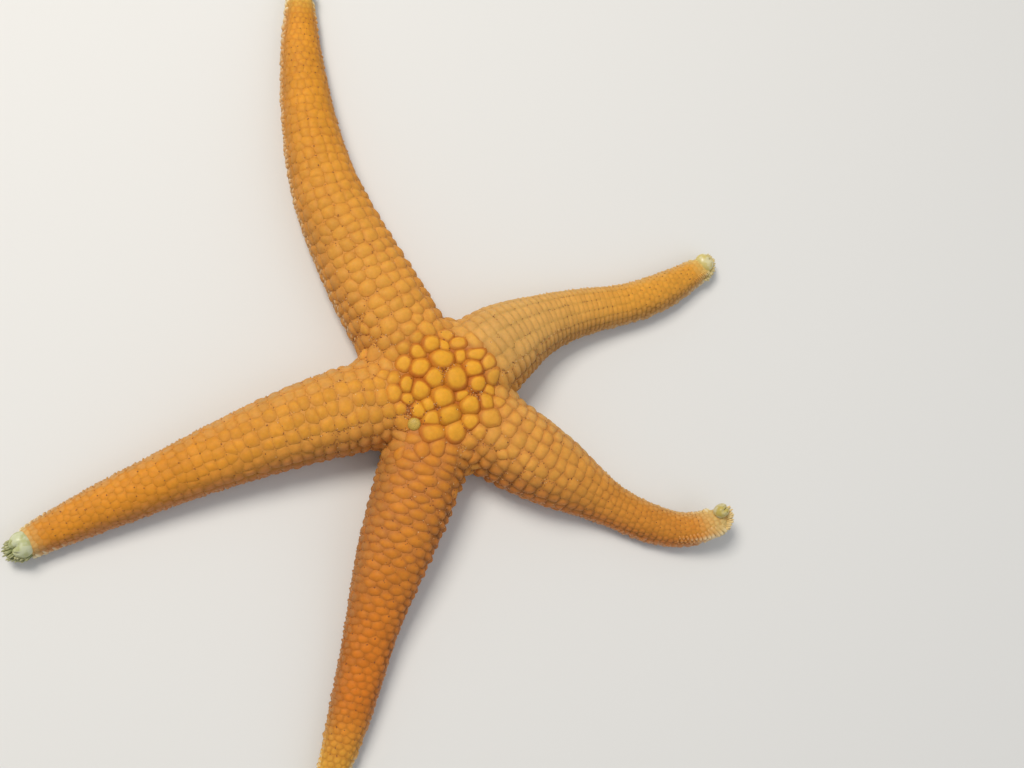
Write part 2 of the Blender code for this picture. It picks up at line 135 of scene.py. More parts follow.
ARMS = (
    Arm(
        name="north", reach=117, headings=(127, 121, 116, 103, 96, 90), tip_rise=2,
        widths=(21.5, 22.2, 19.4, 15.2, 10.9, 6.2), rows=15, pitches=(3.6, 3.2, 2.9, 2.5, 1.9, 1.3),
        reliefs=(0.28, 0.26, 0.22, 0.15, 0.1, 0.07), ribs=(0.2, 0.2), overlaps=(1.16, 1.2), merge=0,
        corners=(4.4, 5.2), tilt=0.12, disorder=0.16, stagger=0.62, fringe=(1.1, 0.5), pale=(0.6, 0.25),
        cap=(0.72, 0, 0.15, 0.46), cap_share=0.965, pale_from=0.9, fan=(0.5, 0, 85), comb=(1, 1),
    ),
    Arm(
        name="east", reach=87, headings=(41, 38, 24, 14, 28, 38), tip_rise=1.5,
        widths=(21.5, 22.0, 15.0, 11.3, 9.6, 5.8), rows=13, pitches=(3.1, 2.2, 1.45, 1.35, 1.4, 1.2),
        reliefs=(0.25, 0.23, 0.2, 0.17, 0.13, 0.1), ribs=(0, 1.5), overlaps=(1.18, 1.2), merge=0.1,
        corners=(6, 8), tilt=0.25, disorder=0.08, stagger=0.62, fringe=(0.35, 1.1), pale=(0.3, 0.3),
        cap=(0.8, 0.06, 0.08, 0.44), cap_share=0.968, pale_from=0.9, fan=(0.9, -45, 75), comb=(0.9, 0.6),
    ),
    Arm(
        name="southeast", reach=86, headings=(322, 329, 333, 334, 350, 402), tip_rise=6,
        widths=(21.5, 21.8, 18.8, 11.5, 9.4, 6.6), rows=15, pitches=(3.4, 3.1, 2.9, 1.9, 1.5, 1.2),
        reliefs=(0.27, 0.25, 0.21, 0.17, 0.15, 0.14), ribs=(0, 0.9), overlaps=(1.16, 1.2), merge=0.03,
        corners=(4.6, 6), tilt=0.12, disorder=0.14, stagger=0.6, fringe=(0.45, 1.15), pale=(0.25, 0.3),
        cap=(0.5, 0.22, 0.25, 0.5), cap_share=0.983, pale_from=0.88, fan=(0.8, -50, 75), comb=(0.83, 1.15),
    ),
    Arm(
        name="south", reach=99, headings=(262, 254, 253, 257, 256, 249), tip_rise=2,
        widths=(21.0, 20.8, 18.0, 12.9, 10.1, 6.2), rows=11, pitches=(2.4, 2.2, 1.95, 1.8, 1.6, 1.4),
        reliefs=(0.22, 0.22, 0.2, 0.15, 0.11, 0.08), ribs=(1, 0.3), overlaps=(1.22, 1.26), merge=0.04,
        corners=(3.6, 4.4), tilt=0.35, disorder=0.15, stagger=0.16, fringe=(0.9, 0.5), pale=(0.25, 0.25),
        cap=(0.72, 0, 0.15, 0.46), cap_share=0.965, pale_from=0.76, fan=(0.5, 0, 85), comb=(1, 1),
    ),
    Arm(
        name="west", reach=106, headings=(191, 197, 203, 206, 207, 211), tip_rise=1.5,
        widths=(21.5, 21.4, 18.2, 14.2, 10.8, 6.9), rows=15, pitches=(3.3, 2.9, 2.8, 2.4, 1.8, 1.3),
        reliefs=(0.28, 0.26, 0.21, 0.14, 0.09, 0.06), ribs=(0.6, 0), overlaps=(1.16, 1.2), merge=0,
        corners=(4.4, 5.2), tilt=0.12, disorder=0.16, stagger=0.58, fringe=(0.7, 0.4), pale=(0.25, 0.2),
        cap=(0.8, 0, 0.2, 0.46), cap_share=0.965, pale_from=0.91, fan=(0.4, 25, 60), comb=(1, 1),
    ),
)
# The left and right flank colours here are partly painted light and shade, and so are the creases' colours
PALETTES = {
    "north": Palette(
        "D4963C", "D08C28", "B98040", "CC8836", "D8B858", "CA8838", "C88228", "C6B468", "C6B468"
    ),
    "east": Palette(
        "D09E56", "D69434", "C9A05E", "B8874A", "D6C47A", "C4944E", "CE8E32", "CABA72", "C8B06A"
    ),
    "southeast": Palette(
        "D69842", "C9822E", "CCA466", "BE7236", "D8BE7A", "C4823A", "C07C2C", "B8A656", "D8B46C"
    ),
    # the south arm's darker colours are partly painted shade, where the light fell off
    "south": Palette(
        "CA802A", "C9721E", "B86E2E", "9E6E40", "DEA83E", "BA7434", "B86A20", "C6B05C", "C6B05C"
    ),
    "west": Palette(
        "D29132", "D08624", "B67646", "B8925E", "D4C488", "CA8A3A", "C88024", "AEB27C", "7C824A"
    ),
}

# How the plates' colours change. Their creases' colours are partly the redder skin there and partly painted
# shade
DISC_TINT, DISC_CREASE = "DC9C2C", "B26420"
SOLE_TINT, SOLE_CREASE = "D2A058", "B08048"
OUTWARD_TINT = (0.25, 0.75)  # shares of the reach between which the outer colour comes in
OUTWARD_CREASE = (0.3, 0.7)
# a flank's colour is partly painted light and shade
FLANK_TINT = (0.15, 0.6)  # sides between which a flank's colour does
FLANK_MOST, TIP_MOST, TIP_CREASE_MOST = 0.9, 0.92, 0.55  # how much of each in the end
TIP_FULL = 0.99  # share of the reach
DISC_TINT_REACH = (17 * MM, 9 * MM)  # from where the arms' colours hold to where the disc's does
ARM_BLEND = 4 * MM  # over which one arm's colours pass into the next's
# painted shade: creases darker low on the flanks where plates stand up as ribs
RIB_SHADE = 0.45  # how much darker creases are where plates stand up as ribs

# The line of an arm
DISC_CENTRE = Vector((10.2, -6.1, 0)) * MM
DISC_XY = np.array(DISC_CENTRE.xy)
LINE_POINTS = 500
RISE_STARTS = 0.72  # share of the reach where the tip begins to curl up
TIP_SHARE = 0.93
TIP_BLUNTNESS = 2.6
TIP_END = 0.02  # keeps the last section from closing to a point

# The section across an arm, as shares of its width, its height or its half width
HEIGHT_OF_WIDTH = 0.78
WAIST_HEIGHT = 0.36
SECTION_POWER = 2.35
SOLE_EDGE = 0.72
FURROW_EDGE = 0.32
FURROW_ROOF = 0.18
FURROW_DEPTH = 0.34
ARC_POINTS = 401
TURN_STEP = 0.01  # to either side, to find the section's slope

# Its underside by share of the way round: across in half widths, and up in heights
UNDERSIDE = (
    (0.75, SOLE_EDGE, 0), (0.82, FURROW_EDGE, 0), (0.86, FURROW_ROOF, FURROW_DEPTH),
    (0.89, -FURROW_ROOF, FURROW_DEPTH), (0.93, -FURROW_EDGE, 0), (1, -SOLE_EDGE, 0),
)

# The disc between the arms
DISC_HEIGHT = 17.2 * MM
WEBS = ((3, 19.6), (77, 18.6), (163, 22.4), (228, 18.9), (292, 21.9))  # degrees, millimetres
WEB_SOFTNESS = 1.02  # nearer to 1, the edge runs sharper through each of these
DISC_MAP = 80 * MM  # that one unit of the disc's baking map spans
SIEVE_PLACE = Vector((-7.4, -9.7, 0)) * MM
SIEVE_RADIUS = 1.6 * MM
MOUTH_RADIUS = 5.2 * MM
MOUTH_DEPTH = 5 * MM

# The skin under the plates. The cutter's corners are in half furrows across, and depths up or drops down
SKIN_DEPTH = 0.4 * MM
SOLE_LIFT = 0.55 * MM
SKIN_GRAIN = 0.66 * MM
SKIN_SMOOTHING = 9
TUBE_SHARE = 0.999  # of the reach
TUBE_GRID, DOME_GRID, CUTTER_GRID = (120, 100), (90, 40), (12, 36)
CUTTER = ((1, -1), (1, 0), (0.56, 1), (-0.56, 1), (-1, 0), (-1, -1), (1, -1))
CUTTER_REACH = 24 * MM
CUTTER_DROP = 3 * MM
MERGED = 1e-6  # metres apart

# Plates
ROW_TAPER = 0.4  # how much narrower the rows by the sole are than the middle one
ROWS_START = 11 * MM
ROWS_END = 0.968  # share of the reach
BRICK_TURN, BRICK_BLEND = 0.25, 0.12  # of a row, and over how much of the reach it grows
STRAY = 1.5  # of the arm's disorder and a pitch
SHAPE_TURNS = (0.2, 0.55)  # shares of the reach between which overlaps and corners change
UNEVEN = (0.92, 1.08)  # of the rise
RIB_SIDES = (0.25, 0.5)  # between which they grow
RIB_MERGE = 0.2  # how much further ribs reach over those beside them in their ring
LONE_REACH = 1.4  # of its half width, where a plate has no neighbour
DOMES = {"disc": (20, (0.25, 0.45, 0.65, 0.85, 1)), "arm": (12, (0.36, 0.62, 0.84, 1))}  # sides and rings
SHOULDERS = {"disc": 0.85, "arm": 1.4}  # over 1, a plate's foot runs out softly
EDGE_ROW, EDGE_ROW_WIDTH = 0.66, 0.07  # how far down the flank the swollen edge plates sit
EDGE_SWELL = 0.5  # how much higher they stand
SKIRT = 0.3 * MM
NEAR_SIZES, NEAR_MORE = 2.4, 2 * MM  # how far off a plate's neighbours may be
PROBE = 2  # millimetres over a place, to look down from
BACK_FROM = 3 * MM  # above this, the skin is the back's

# The disc's own plates: places from its centre, lengths and widths, in millimetres
DISC_PLATES = (
    (-1.1, 6.3, 5.4, 4.3), (2.4, 1.6, 4.6, 5.6), (6.7, 4.2, 4.1, 3.7), (7.7, 0.7, 3.6, 3.7),
    (5.8, -4.7, 4.1, 4.5), (0.6, -7.3, 4.9, 4.5), (-0.9, -3.4, 4.7, 4.7), (-6.3, -1.6, 3.7, 4.0),
    (-3.2, 1.4, 4.0, 4.0), (-6.4, 3.8, 4.5, 3.8), (-3.1, -11.9, 5.1, 4.0), (2.4, -11.1, 4.0, 4.5),
    (9.9, -3.7, 2.8, 4.7), (10.7, -7.5, 4.3, 4.3), (-3.8, 9.8, 5.4, 3.2), (2.8, 10.5, 4.3, 2.6),
    (7.2, 7.6, 4.3, 2.6), (3.4, 7.2, 2.2, 2.4), (3.8, -2.5, 2.6, 1.9), (-4.3, -5.2, 2.8, 2.8),
    (-9.7, -0.6, 2.8, 4.2), (-12.5, -2.7, 3.0, 4.9), (-1.7, -15.1, 3.8, 3.2), (-4.9, 13.6, 4.3, 3.0),
    (11.5, 2.6, 3.3, 3.7), (-6.4, -6.3, 2.8, 2.6), (-9.4, -3.8, 2.5, 2.5),
)
DISC_PLATE_SCALE = 1.1
DISC_RELIEF, DISC_LOWERING = 0.31, 10  # of a plate's size, and millimetres out from where they stand lower
DISC_OVERLAP = 1.24
DISC_CORNER = 4.3

# Small plates that fill what is left
FILL_SIZES = (1.7, 1.3)  # millimetres
FILL_REACH = 27 * MM
FILL_RELIEF, SOLE_FILL_RISE = 0.26, 0.2  # of their size
FILL_SPACING, DISC_SPACING, ROW_SPACING = 0.9, 0.7, 0.6  # of two plates' sizes, nearer ones crowd
MOST_PLATES = 6000

# Flat plates beside the furrows: across as a share of the half width, half width as one too, pitch
SOLE_ROWS = ((0.41, 0.085, 1.9 * MM), (0.6, 0.1, 2.5 * MM))
SOLE_START = 9 * MM
SOLE_PLATE_RISE = 0.32 * MM
SOLE_OVERLAP = 1.1
SOLE_CORNER = 6
SOLE_PROBE = (-2 * MM, 4 * MM)  # from where, and how far up, the sole is looked for

# Heights and radii of the small shapes
SCALE = ((-0.5, 0.42), (0.1, 0.5), (0.6, 0.5), (0.86, 0.36), (1, 0.14))
FLAT_SPINE = ((-0.5, 0.42), (0, 0.5), (0.5, 0.5), (0.82, 0.38), (1, 0.14))
FURROW_SPINE = ((-0.3, 0.45), (0, 0.5), (0.7, 0.4), (1, 0.18))
TUBE_FOOT = ((0, 0.8), (0.06, 1), (0.16, 0.85), (0.3, 0.5), (0.6, 0.55), (1, 0.62))
BEAD = ((-0.6, 1), (0.15, 0.85), (0.35, 0.4))
SIEVE_DOME = ((-0.5, 1), (0.02, 1), (0.16, 0.96), (0.3, 0.84), (0.4, 0.64), (0.46, 0.4), (0.48, 0.12))
PATCH = 0.003  # of the baking map, for each small thing
FLOOR_GAP = 0.02 * MM

# Scales along the edges
SCALE_TIERS = ((0.62, 0.9, 0.25), (0.7, 1, 0.25), (0.8, 1, 0.2))  # how far down the flank, length, lean
SCALES_START, SCALES_END = 20 * MM, 0.95
SCALE_LENGTHS = (0.7, 0.8, 0.9, 1.0, 1.3, 2.0)  # millimetres, at even shares of the reach
SCALE_STEP = 1.05 * MM
SCALE_THICKNESS = 0.34 * MM
SCALE_BREADTHS = (1.2, 1.7)  # of a step
ALL_PALE = (0.84, 0.96)  # shares of the reach between which they all turn pale
FLANK_STEP = 0.02  # of the way round, to find the way down

# Spines and feet in the furrows
SPINE_SIZE = (0.55 * MM, 0.4 * MM)
SPINE_LONGEST, SPINE_OF_WIDTH = 1.5 * MM, 0.075
SPINE_HEIGHT, SPINE_INSET, SPINE_STEP = 0.75 * MM, 0.03, 0.85 * MM
SPINES_END, FEET_END = 0.96, 0.93  # shares of the reach
FOOT_ACROSS = 0.2  # of the half width
FOOT_STAGGER, FOOT_LIFT, FOOT_STEP = 0.6 * MM, 0.08 * MM, 0.9 * MM
FOOT_ROOF, FOOT_LEAN = 1.15, 0.8  # of the furrow's depth, and of its own way across
SUCKER_RADIUS = 0.05  # of the width

# Pores and gills
PORES_START, PORES_END = 19 * MM, 0.9
PORELESS = 0.3  # share of the places where plates meet
PORE_RADII, SPECK_RADII = (0.09, 0.17), (0.09, 0.18)  # millimetres
SPECK_SPOTS = ((7.8, -2.6), (-3.1, -6.9), (-9.5, -6.2), (-0.6, 3.2))  # millimetres from the disc's centre
SPECK_REACH = 45 * MM
CLUSTER_RADIUS = 1.9 * MM
CREASE_SHARE = 0.93  # of a plate's size, beyond which it is crease

# The plate at each tip and its fingers
CAP_HALVES = (0.5, 0.32, 0.4)  # across, up and ahead, of the width near the tip
CAP_MESH = (96, 44)
CAP_SLITS = 4.5
SLIT_DEPTH = 0.13
TIP_WIDTH_SHARE = 0.95  # of the reach, where the width near the tip is taken
FAN_SHARE = 0.955
FAN_TIERS = ((0.4, 0.9, 0.1), (0.28, 1, -0.1), (0.15, 0.9, -0.3))  # height, length, upward lean
FAN_FINGERS = 15
FAN_FINGER = (0.6 * MM, 0.45 * MM, 1.8 * MM)  # across, through and out
FAN_PALE = 0.4
COMB_TIERS = (0.27, 0.39, 0.52)  # how far down the flank
COMB_END = 0.965
COMB_STEP = 0.95 * MM
COMB_FINGER = (1 * MM, 0.42 * MM, 2 * MM)

# The mouth's steps inwards: up in millimetres, and the share that the hole shrinks to
MOUTH_STEPS = ((0.3, 0.86), (0.1, 0.8), (-0.1, 0.75), (-0.2, 0.7), (0.3, 0.6), (0.9, 0.6), (0.8, 0.7))
MOUTH_LIFT = 2.6 * MM
MOUTH_SKIN = 0.5 * MM
MOUTH_FOLDS, FOLD_HEIGHT = 15, 0.12 * MM
JAW_OUT, JAW_UP, JAW_TURN = 7.2, 0.95, 9  # millimetres from the mouth's middle, and degrees from a web
JAW_SIZE = (1.5 * MM, 1.3 * MM, 3.2 * MM)
JAW_SPINES = 5
JAW_SPINE_SIZE = (0.5 * MM, 0.4 * MM, 1.3 * MM)
JAW_SPREAD = 0.6

# The stage: the camera from the disc's centre, and its lean in degrees, as the photograph looks
EYE = Vector((-52.8, -57.9, 293.1)) * MM
LEAN = (14, 12)
LENS, SENSOR = 42.19, 36
FLOOR_SIZE = 6
LIGHTS = (  # name, place, size, power and colour
    ("key", (-0.35, 0.35, 0.75), 0.35, 6.5, "FFF8EE"),
    ("fill", (0.7, -0.3, 0.6), 0.8, 1.5, "EEF4FF"),
)

# Curves and sections


def along(values, share):
    """A smooth curve through values that are spread evenly from share 0 to share 1."""
    values = np.asarray(values, float)
    place = np.clip(share, 0, 1) * (len(values) - 1)
    first = np.minimum(np.floor(place).astype(int), len(values) - 2)
    t = place - first
    before = values[np.maximum(first - 1, 0)]
    start, end = values[first], values[first + 1]
    after = values[np.minimum(first + 2, len(values) - 1)]
    bend = 2 * before - 5 * start + 4 * end - after
    twist = 3 * start - before - 3 * end + after
    return 0.5 * (2 * start + (end - before) * t + bend * t**2 + twist * t**3)


def smooth(low, high, value):
    """0 up to low, 1 from high, and an even curve between."""
    t = np.clip((value - low) / (high - low), 0, 1)
    return t * t * (3 - 2 * t)


def mixed(first, second, share):
    return first + (second - first) * float(share)


def share_of(arm, distance):
    return np.asarray(distance, float) / (arm.reach * MM)


def width_at(arm, distance):
    """The arm's width, drawn in to a blunt end over its tip."""
    share = share_of(arm, distance)
    closing = np.clip((share - TIP_SHARE) / (1 - TIP_SHARE), 0, 1)
    return along(arm.widths, share) * MM * np.sqrt(np.maximum(1 - closing**TIP_BLUNTNESS, TIP_END))


def lift(arm, distance):
    past = (share_of(arm, distance) - RISE_STARTS) / (1 - RISE_STARTS)
    return arm.tip_rise * MM * np.maximum(past, 0) ** 2


def middle_line(arm):
    """Distances out along an arm and the floor's points under its middle there."""
    edges = np.linspace(0, arm.reach * MM, LINE_POINTS)
    headings = np.radians(along(arm.headings, share_of(arm, (edges[1:] + edges[:-1]) / 2)))
    steps = np.stack([np.cos(headings), np.sin(headings)], 1) * edges[1]
    return edges, np.vstack([np.zeros(2), np.cumsum(steps, 0)]) + DISC_XY


MIDDLES = {arm.name: middle_line(arm) for arm in ARMS}


def away_from(arm, here):
    """The square of how far a place in plan lies from an arm's middle line."""
    return ((MIDDLES[arm.name][1] - here) ** 2).sum(1).min()


def placed(arm, distance, across, up):
    """Points of an arm's section set in the animal: metres to the arm's left and up from its sole."""
    edges, places = MIDDLES[arm.name]
    heading = np.radians(along(arm.headings, share_of(arm, distance)))
    slope = (lift(arm, distance + MM) - lift(arm, distance - MM)) / (2 * MM)
    flat = 1 / np.sqrt(1 + slope**2)
    left = np.stack([-np.sin(heading), np.cos(heading), 0 * heading], -1)
    upward = np.stack([-np.cos(heading) * slope, -np.sin(heading) * slope, 1 + 0 * slope], -1)
    ground = [np.interp(distance, edges, places[:, axis]) for axis in (0, 1)]
    middle = np.stack([*ground, lift(arm, distance)], -1)
    return middle + left * np.asarray(across)[..., None] + upward * (flat * up)[..., None]


def one_placed(arm, distance, across, up):
    return Vector(placed(arm, distance, across, up))


def section(width, turn, height=None):
    """The section's outer curve: turn is -1 at the right sole, 0 on top, 1 at the left."""
    half = width / 2
    height = width * HEIGHT_OF_WIDTH if height is None else height
    waist = height * WAIST_HEIGHT
    below = waist / (1 - SOLE_EDGE**SECTION_POWER) ** (1 / SECTION_POWER)
    angle = turn * np.arctan2(SOLE_EDGE * half, -waist)
    across, up = np.sin(angle), np.cos(angle)
    reach_up = np.where(up > 0, height - waist, below)
    scaled = (np.abs(across) / half) ** SECTION_POWER + (np.abs(up) / reach_up) ** SECTION_POWER
    radius = scaled ** (-1 / SECTION_POWER)
    return radius * across, waist + radius * up


def on_arm(arm, distance, turn, out=0.0):
    """Points on an arm's back and flanks, or this far out from them."""
    distance, turn = np.broadcast_arrays(np.asarray(distance, float), np.asarray(turn, float))
    width = width_at(arm, distance)
    across, up = section(width, turn)
    next_across, next_up = section(width, turn + TURN_STEP)
    last_across, last_up = section(width, turn - TURN_STEP)
    run, climb = next_across - last_across, next_up - last_up
    length = np.hypot(run, climb)
    return placed(arm, distance, across - out * climb / length, up + out * run / length)


def arc_table():
    """Shares of the way round the section's curve, -1 to 1, and the turns there."""
    turns = np.linspace(-1, 1, ARC_POINTS)
    across, up = section(1, turns)
    lengths = np.concatenate([[0], np.cumsum(np.hypot(np.diff(across), np.diff(up)))])
    return 2 * lengths / lengths[-1] - 1, turns, lengths[-1]


ARC_SHARES, ARC_TURNS, ARC_LENGTH = arc_table()


def turn_of(arc_share):
    return np.interp(arc_share, ARC_SHARES, ARC_TURNS)


def web_reach(angle):
    """How far out the disc's edge lies this way."""
    nearness = np.stack([1 / (WEB_SOFTNESS - np.cos(angle - math.radians(heading))) for heading, _ in WEBS])
    reaches = np.array([reach for _, reach in WEBS]) * MM
    return np.tensordot(reaches, nearness, 1) / nearness.sum(0)


def tangent(direction, normal):
    return (direction - normal * direction.dot(normal)).normalized()


def tree_of(places):
    tree = KDTree(len(places))
    for number, place in enumerate(places):
        tree.insert(place, number)
    tree.balance()
    return tree


# Making meshes


def added(primitive, **settings):
    """A new primitive, added with nothing else selected."""
    bpy.ops.object.select_all(action="DESELECT")
    primitive(**settings)
    return bpy.context.object


def edit_all():
    """Opens the new piece for editing, with all of it selected."""
    bpy.ops.object.mode_set(mode="EDIT")
    bpy.ops.mesh.select_all(action="SELECT")


def turn_outwards():
    """Turns what is selected outwards and closes the piece."""
    bpy.ops.mesh.normals_make_consistent(inside=False)
    bpy.ops.object.mode_set(mode="OBJECT")


def only(piece):
    bpy.ops.object.select_all(action="DESELECT")
    piece.select_set(True)
    bpy.context.view_layer.objects.active = piece


def apply(piece, kind, **settings):
    """Adds a modifier with these settings and applies it."""
    only(piece)
    modifier = piece.modifiers.new(kind.lower(), kind)
    for setting, value in settings.items():
        setattr(modifier, setting, value)
    bpy.ops.object.modifier_apply(modifier=modifier.name)


def points_of(piece, kept="co"):
    """A piece's points, or their normals, as rows of three."""
    numbers = np.empty(len(piece.data.vertices) * 3)
    piece.data.vertices.foreach_get(kept, numbers)
    return numbers.reshape(-1, 3)


def set_points(piece, points):
    piece.data.vertices.foreach_set("co", np.asarray(points, float).ravel())
    piece.data.update()


def wrapped_grid(name, columns, rows, place):
    """A sheet of squares wrapped round to a closed tube by place(u, v), its ends filled."""
    piece = added(bpy.ops.mesh.primitive_grid_add, x_subdivisions=columns, y_subdivisions=rows, size=1)
    piece.name = name
    points = points_of(piece) + 0.5
    set_points(piece, place(points[:, 0], points[:, 1]))
    edit_all()
    bpy.ops.mesh.remove_doubles(threshold=MERGED)
    bpy.ops.mesh.fill_holes(sides=0)
    turn_outwards()
    return piece


def turned(sides, profile):
    """A round shape from the bottom up: a disc, extruded and scaled from ring to ring.

    The profile is heights and radii. Returns its corners and faces, and leaves no object."""
    bottom, first_radius = profile[0]
    piece = added(bpy.ops.mesh.primitive_circle_add, vertices=sides, radius=first_radius,
                  fill_type="NGON", location=(0, 0, bottom))
    bpy.ops.object.transform_apply()
    edit_all()
    for (last_up, last_radius), (up, radius) in zip(profile, profile[1:]):
        bpy.ops.mesh.extrude_region_move(TRANSFORM_OT_translate={"value": (0, 0, up - last_up)})
        bpy.ops.transform.resize(value=(radius / last_radius, radius / last_radius, 1))
    bpy.ops.mesh.select_all(action="SELECT")
    turn_outwards()
    points, faces = points_of(piece), [tuple(face.vertices) for face in piece.data.polygons]
    bpy.data.objects.remove(piece)
    return points, faces


def store(data, name, numbers):
    """Keeps a number or a colour for each point of a mesh."""
    table = np.asarray(numbers, np.float32).reshape(len(data.vertices), -1)
    kind, value = ("FLOAT", "value") if table.shape[1] == 1 else ("FLOAT_COLOR", "color")
    data.attributes.new(name, kind, "POINT").data.foreach_set(value, table.ravel())


def settled(piece, name, finish):
    """Names a finished piece, gives it its material and sets it riding on the body."""
    piece.name = name
    piece.data.name = name
    piece.data.materials.clear()
    piece.data.materials.append(finish)
    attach(piece, "root")
    return piece


def joined(name, copies, faces, values, patches, finish):
    """One mesh of many copies: copies is (copies, corners, 3), faces are one copy's, values are its
    attributes, (copies, corners) each, and patches are the places of the copies' baking patches."""
    count, corners, _ = copies.shape
    copies[:, :, 2] = np.maximum(copies[:, :, 2], FLOOR_GAP)
    data = bpy.data.meshes.new(name)
    everything = [[end + corners * copy for end in face] for copy in range(count) for face in faces]
    data.from_pydata(copies.reshape(-1, 3), [], everything)
    for kept, numbers in values.items():
        store(data, kept, np.broadcast_to(numbers, (count, corners, *numbers.shape[2:])))
    ends = np.empty(len(data.loops), int)
    data.loops.foreach_get("vertex_index", ends)
    data.uv_layers.new(name="OFBake").data.foreach_set("uv", patches.reshape(-1, 2)[ends].ravel())
    data.shade_smooth()
    piece = bpy.data.objects.new(name, data)
    bpy.context.scene.collection.objects.link(piece)
    return settled(piece, name, finish)


def set_out(name, shape, copies, finish):
    """One joined mesh of a small thing's copies, each with a small patch of the baking map."""
    points, faces = shape
    corners, patches = [], []
    spread = np.abs(points[:, :2]).max()
    for copy in copies:
        out = copy.out.normalized()
        wide = (copy.wide - out * copy.wide.dot(out)).normalized()
        axes = np.array((wide, out.cross(wide), out)) * np.array(copy.size)[:, None]
        corners.append(points @ axes + np.array(copy.place))
        patches.append(np.array(copy.patch) + points[:, :2] / spread * PATCH / 2)
    values = {
        "pale": np.array([[copy.pale] for copy in copies]),
        "tint": np.array([[(*copy.tint, 1)] for copy in copies]),
        "tone": np.array([[copy.tone] for copy in copies]),
        "height": points[None, :, 2] / points[:, 2].max(),
    }
    return joined(name, np.array(corners), faces, values, np.array(patches), finish)


# The skin


def section_ring(width, share):
    """The whole section by share 0 to 1: up the right flank, over the back and down, then the furrow."""
    height = width * HEIGHT_OF_WIDTH
    stops, sides, depths = zip(*UNDERSIDE)
    turn = turn_of(np.clip(share / stops[0], 0, 1) * 2 - 1)
    across, up = section(width - 2 * SKIN_DEPTH, turn, height - SKIN_DEPTH)
    across = np.where(share > stops[0], np.interp(share, stops, sides) * width / 2, across)
    up = np.where(share > stops[0], np.interp(share, stops, depths) * height, up)
    return across, np.maximum(up, SOLE_LIFT)


def arm_tube(arm):
    def place(u, v):
        distance = u * arm.reach * MM * TUBE_SHARE
        return placed(arm, distance, *section_ring(width_at(arm, distance), v % 1))

    return wrapped_grid(f"{arm.name}_tube", *TUBE_GRID, place)


def disc_dome():
    def place(u, v):
        angle = 2 * np.pi * (u % 1)
        across, up = section(2 * web_reach(angle) - 2 * SKIN_DEPTH, 1 - v, DISC_HEIGHT - SKIN_DEPTH)
        plan = np.stack([across * np.cos(angle), across * np.sin(angle), np.maximum(up, SOLE_LIFT)], -1)
        return plan + np.array(DISC_CENTRE)

    return wrapped_grid("disc_dome", *DOME_GRID, place)


def furrow_cutter(arm):
    """The inner end of a furrow, as a solid to cut away."""
    def place(u, v):
        distance = u * CUTTER_REACH
        width = width_at(arm, distance)
        spot = v % 1 * (len(CUTTER) - 1)
        side, up = [np.interp(spot, range(len(CUTTER)), values) for values in zip(*CUTTER)]
        up = up * np.where(up > 0, FURROW_DEPTH * width * HEIGHT_OF_WIDTH, CUTTER_DROP)
        return placed(arm, distance, side * FURROW_EDGE * width / 2, up)

    return wrapped_grid("furrow", *CUTTER_GRID, place)


def skin():
    """All five arms and the disc grown together, with the furrows and the mouth open below."""
    tubes = [arm_tube(arm) for arm in ARMS]
    body = disc_dome()
    only(body)
    for tube in tubes:
        tube.select_set(True)
    bpy.ops.object.join()
    apply(body, "REMESH", mode="VOXEL", voxel_size=SKIN_GRAIN)
    cutters = [furrow_cutter(arm) for arm in ARMS]
    cutters.append(added(bpy.ops.mesh.primitive_cylinder_add, vertices=48, radius=MOUTH_RADIUS,
                         depth=2 * MOUTH_DEPTH, location=DISC_CENTRE))
    for cutter in cutters:
        apply(body, "BOOLEAN", operation="DIFFERENCE", object=cutter, solver="MANIFOLD")
        bpy.data.objects.remove(cutter)
    apply(body, "REMESH", mode="VOXEL", voxel_size=SKIN_GRAIN)
    apply(body, "SMOOTH", factor=0.5, iterations=SKIN_SMOOTHING)
    body.data.shade_smooth()
    return body


class Surface:
    """The skin's shape, asked for the nearest point, a smooth normal or a hit."""

    def __init__(self, body):
        self.tree = BVHTree.FromObject(body, bpy.context.evaluated_depsgraph_get())
        self.points = points_of(body)
        self.normals = points_of(body, "normal")
        self.out = np.linalg.norm(self.points[:, :2] - DISC_XY, axis=1)
        self.near = tree_of(self.points)

    def settle(self, point):
        """The nearest point of the skin, the normal there, and how far off it is."""
        place, _, _, away = self.tree.find_nearest(point)
        _, number, _ = self.near.find(place)
        return place, Vector(self.normals[number]), away

    def top(self, place):
        """The skin's highest point over this place, and the normal there."""
        hit = self.tree.ray_cast(Vector((place.x, place.y, 30 * MM)), Vector((0, 0, -1)))[0]
        return hit, self.settle(hit)[1]

    def under(self, point, normal):
        """The skin's point straight under or over this one, along a plate's own normal."""
        return self.tree.ray_cast(point + normal * PROBE * MM, -normal, 4.5 * MM)[0] or point

    def flank(self, arm, spot, side):
        """A place low on an arm's edge: its point, normal and distance off, and the ways ahead and down."""
        turn, lower = turn_of(side), turn_of(side + math.copysign(FLANK_STEP, side))
        root = Vector(on_arm(arm, spot, turn))
        ahead, down = Vector(on_arm(arm, spot + MM, turn)), Vector(on_arm(arm, spot, lower))
        return *self.settle(root), (ahead - root).normalized(), (down - root).normalized()


# Where the plates sit


def row_edges(arm):
    """Where an arm's rows of plates part, from -1 at its right sole to 1 at its left one."""
    off_middle = np.abs(np.linspace(-1, 1, arm.rows))
    widths = 1 - ROW_TAPER * off_middle**1.5
    return np.concatenate([[0], np.cumsum(widths)]) / widths.sum() * 2 - 1


def rings_of(arm):
    """The middles and pitches of an arm's rings of plates."""
    distance = ROWS_START
    rings = []
    while distance < ROWS_END * arm.reach * MM:
        pitch = float(along(arm.pitches, share_of(arm, distance))) * MM
        rings.append((distance + pitch / 2, pitch))
        distance += pitch
    return rings


def full_rise(relief, overlap, kind):
    """How high over the skin a plate stands, so that it shows this much over its creases."""
    return relief / (1 - (1 - overlap**-2) ** SHOULDERS[kind])


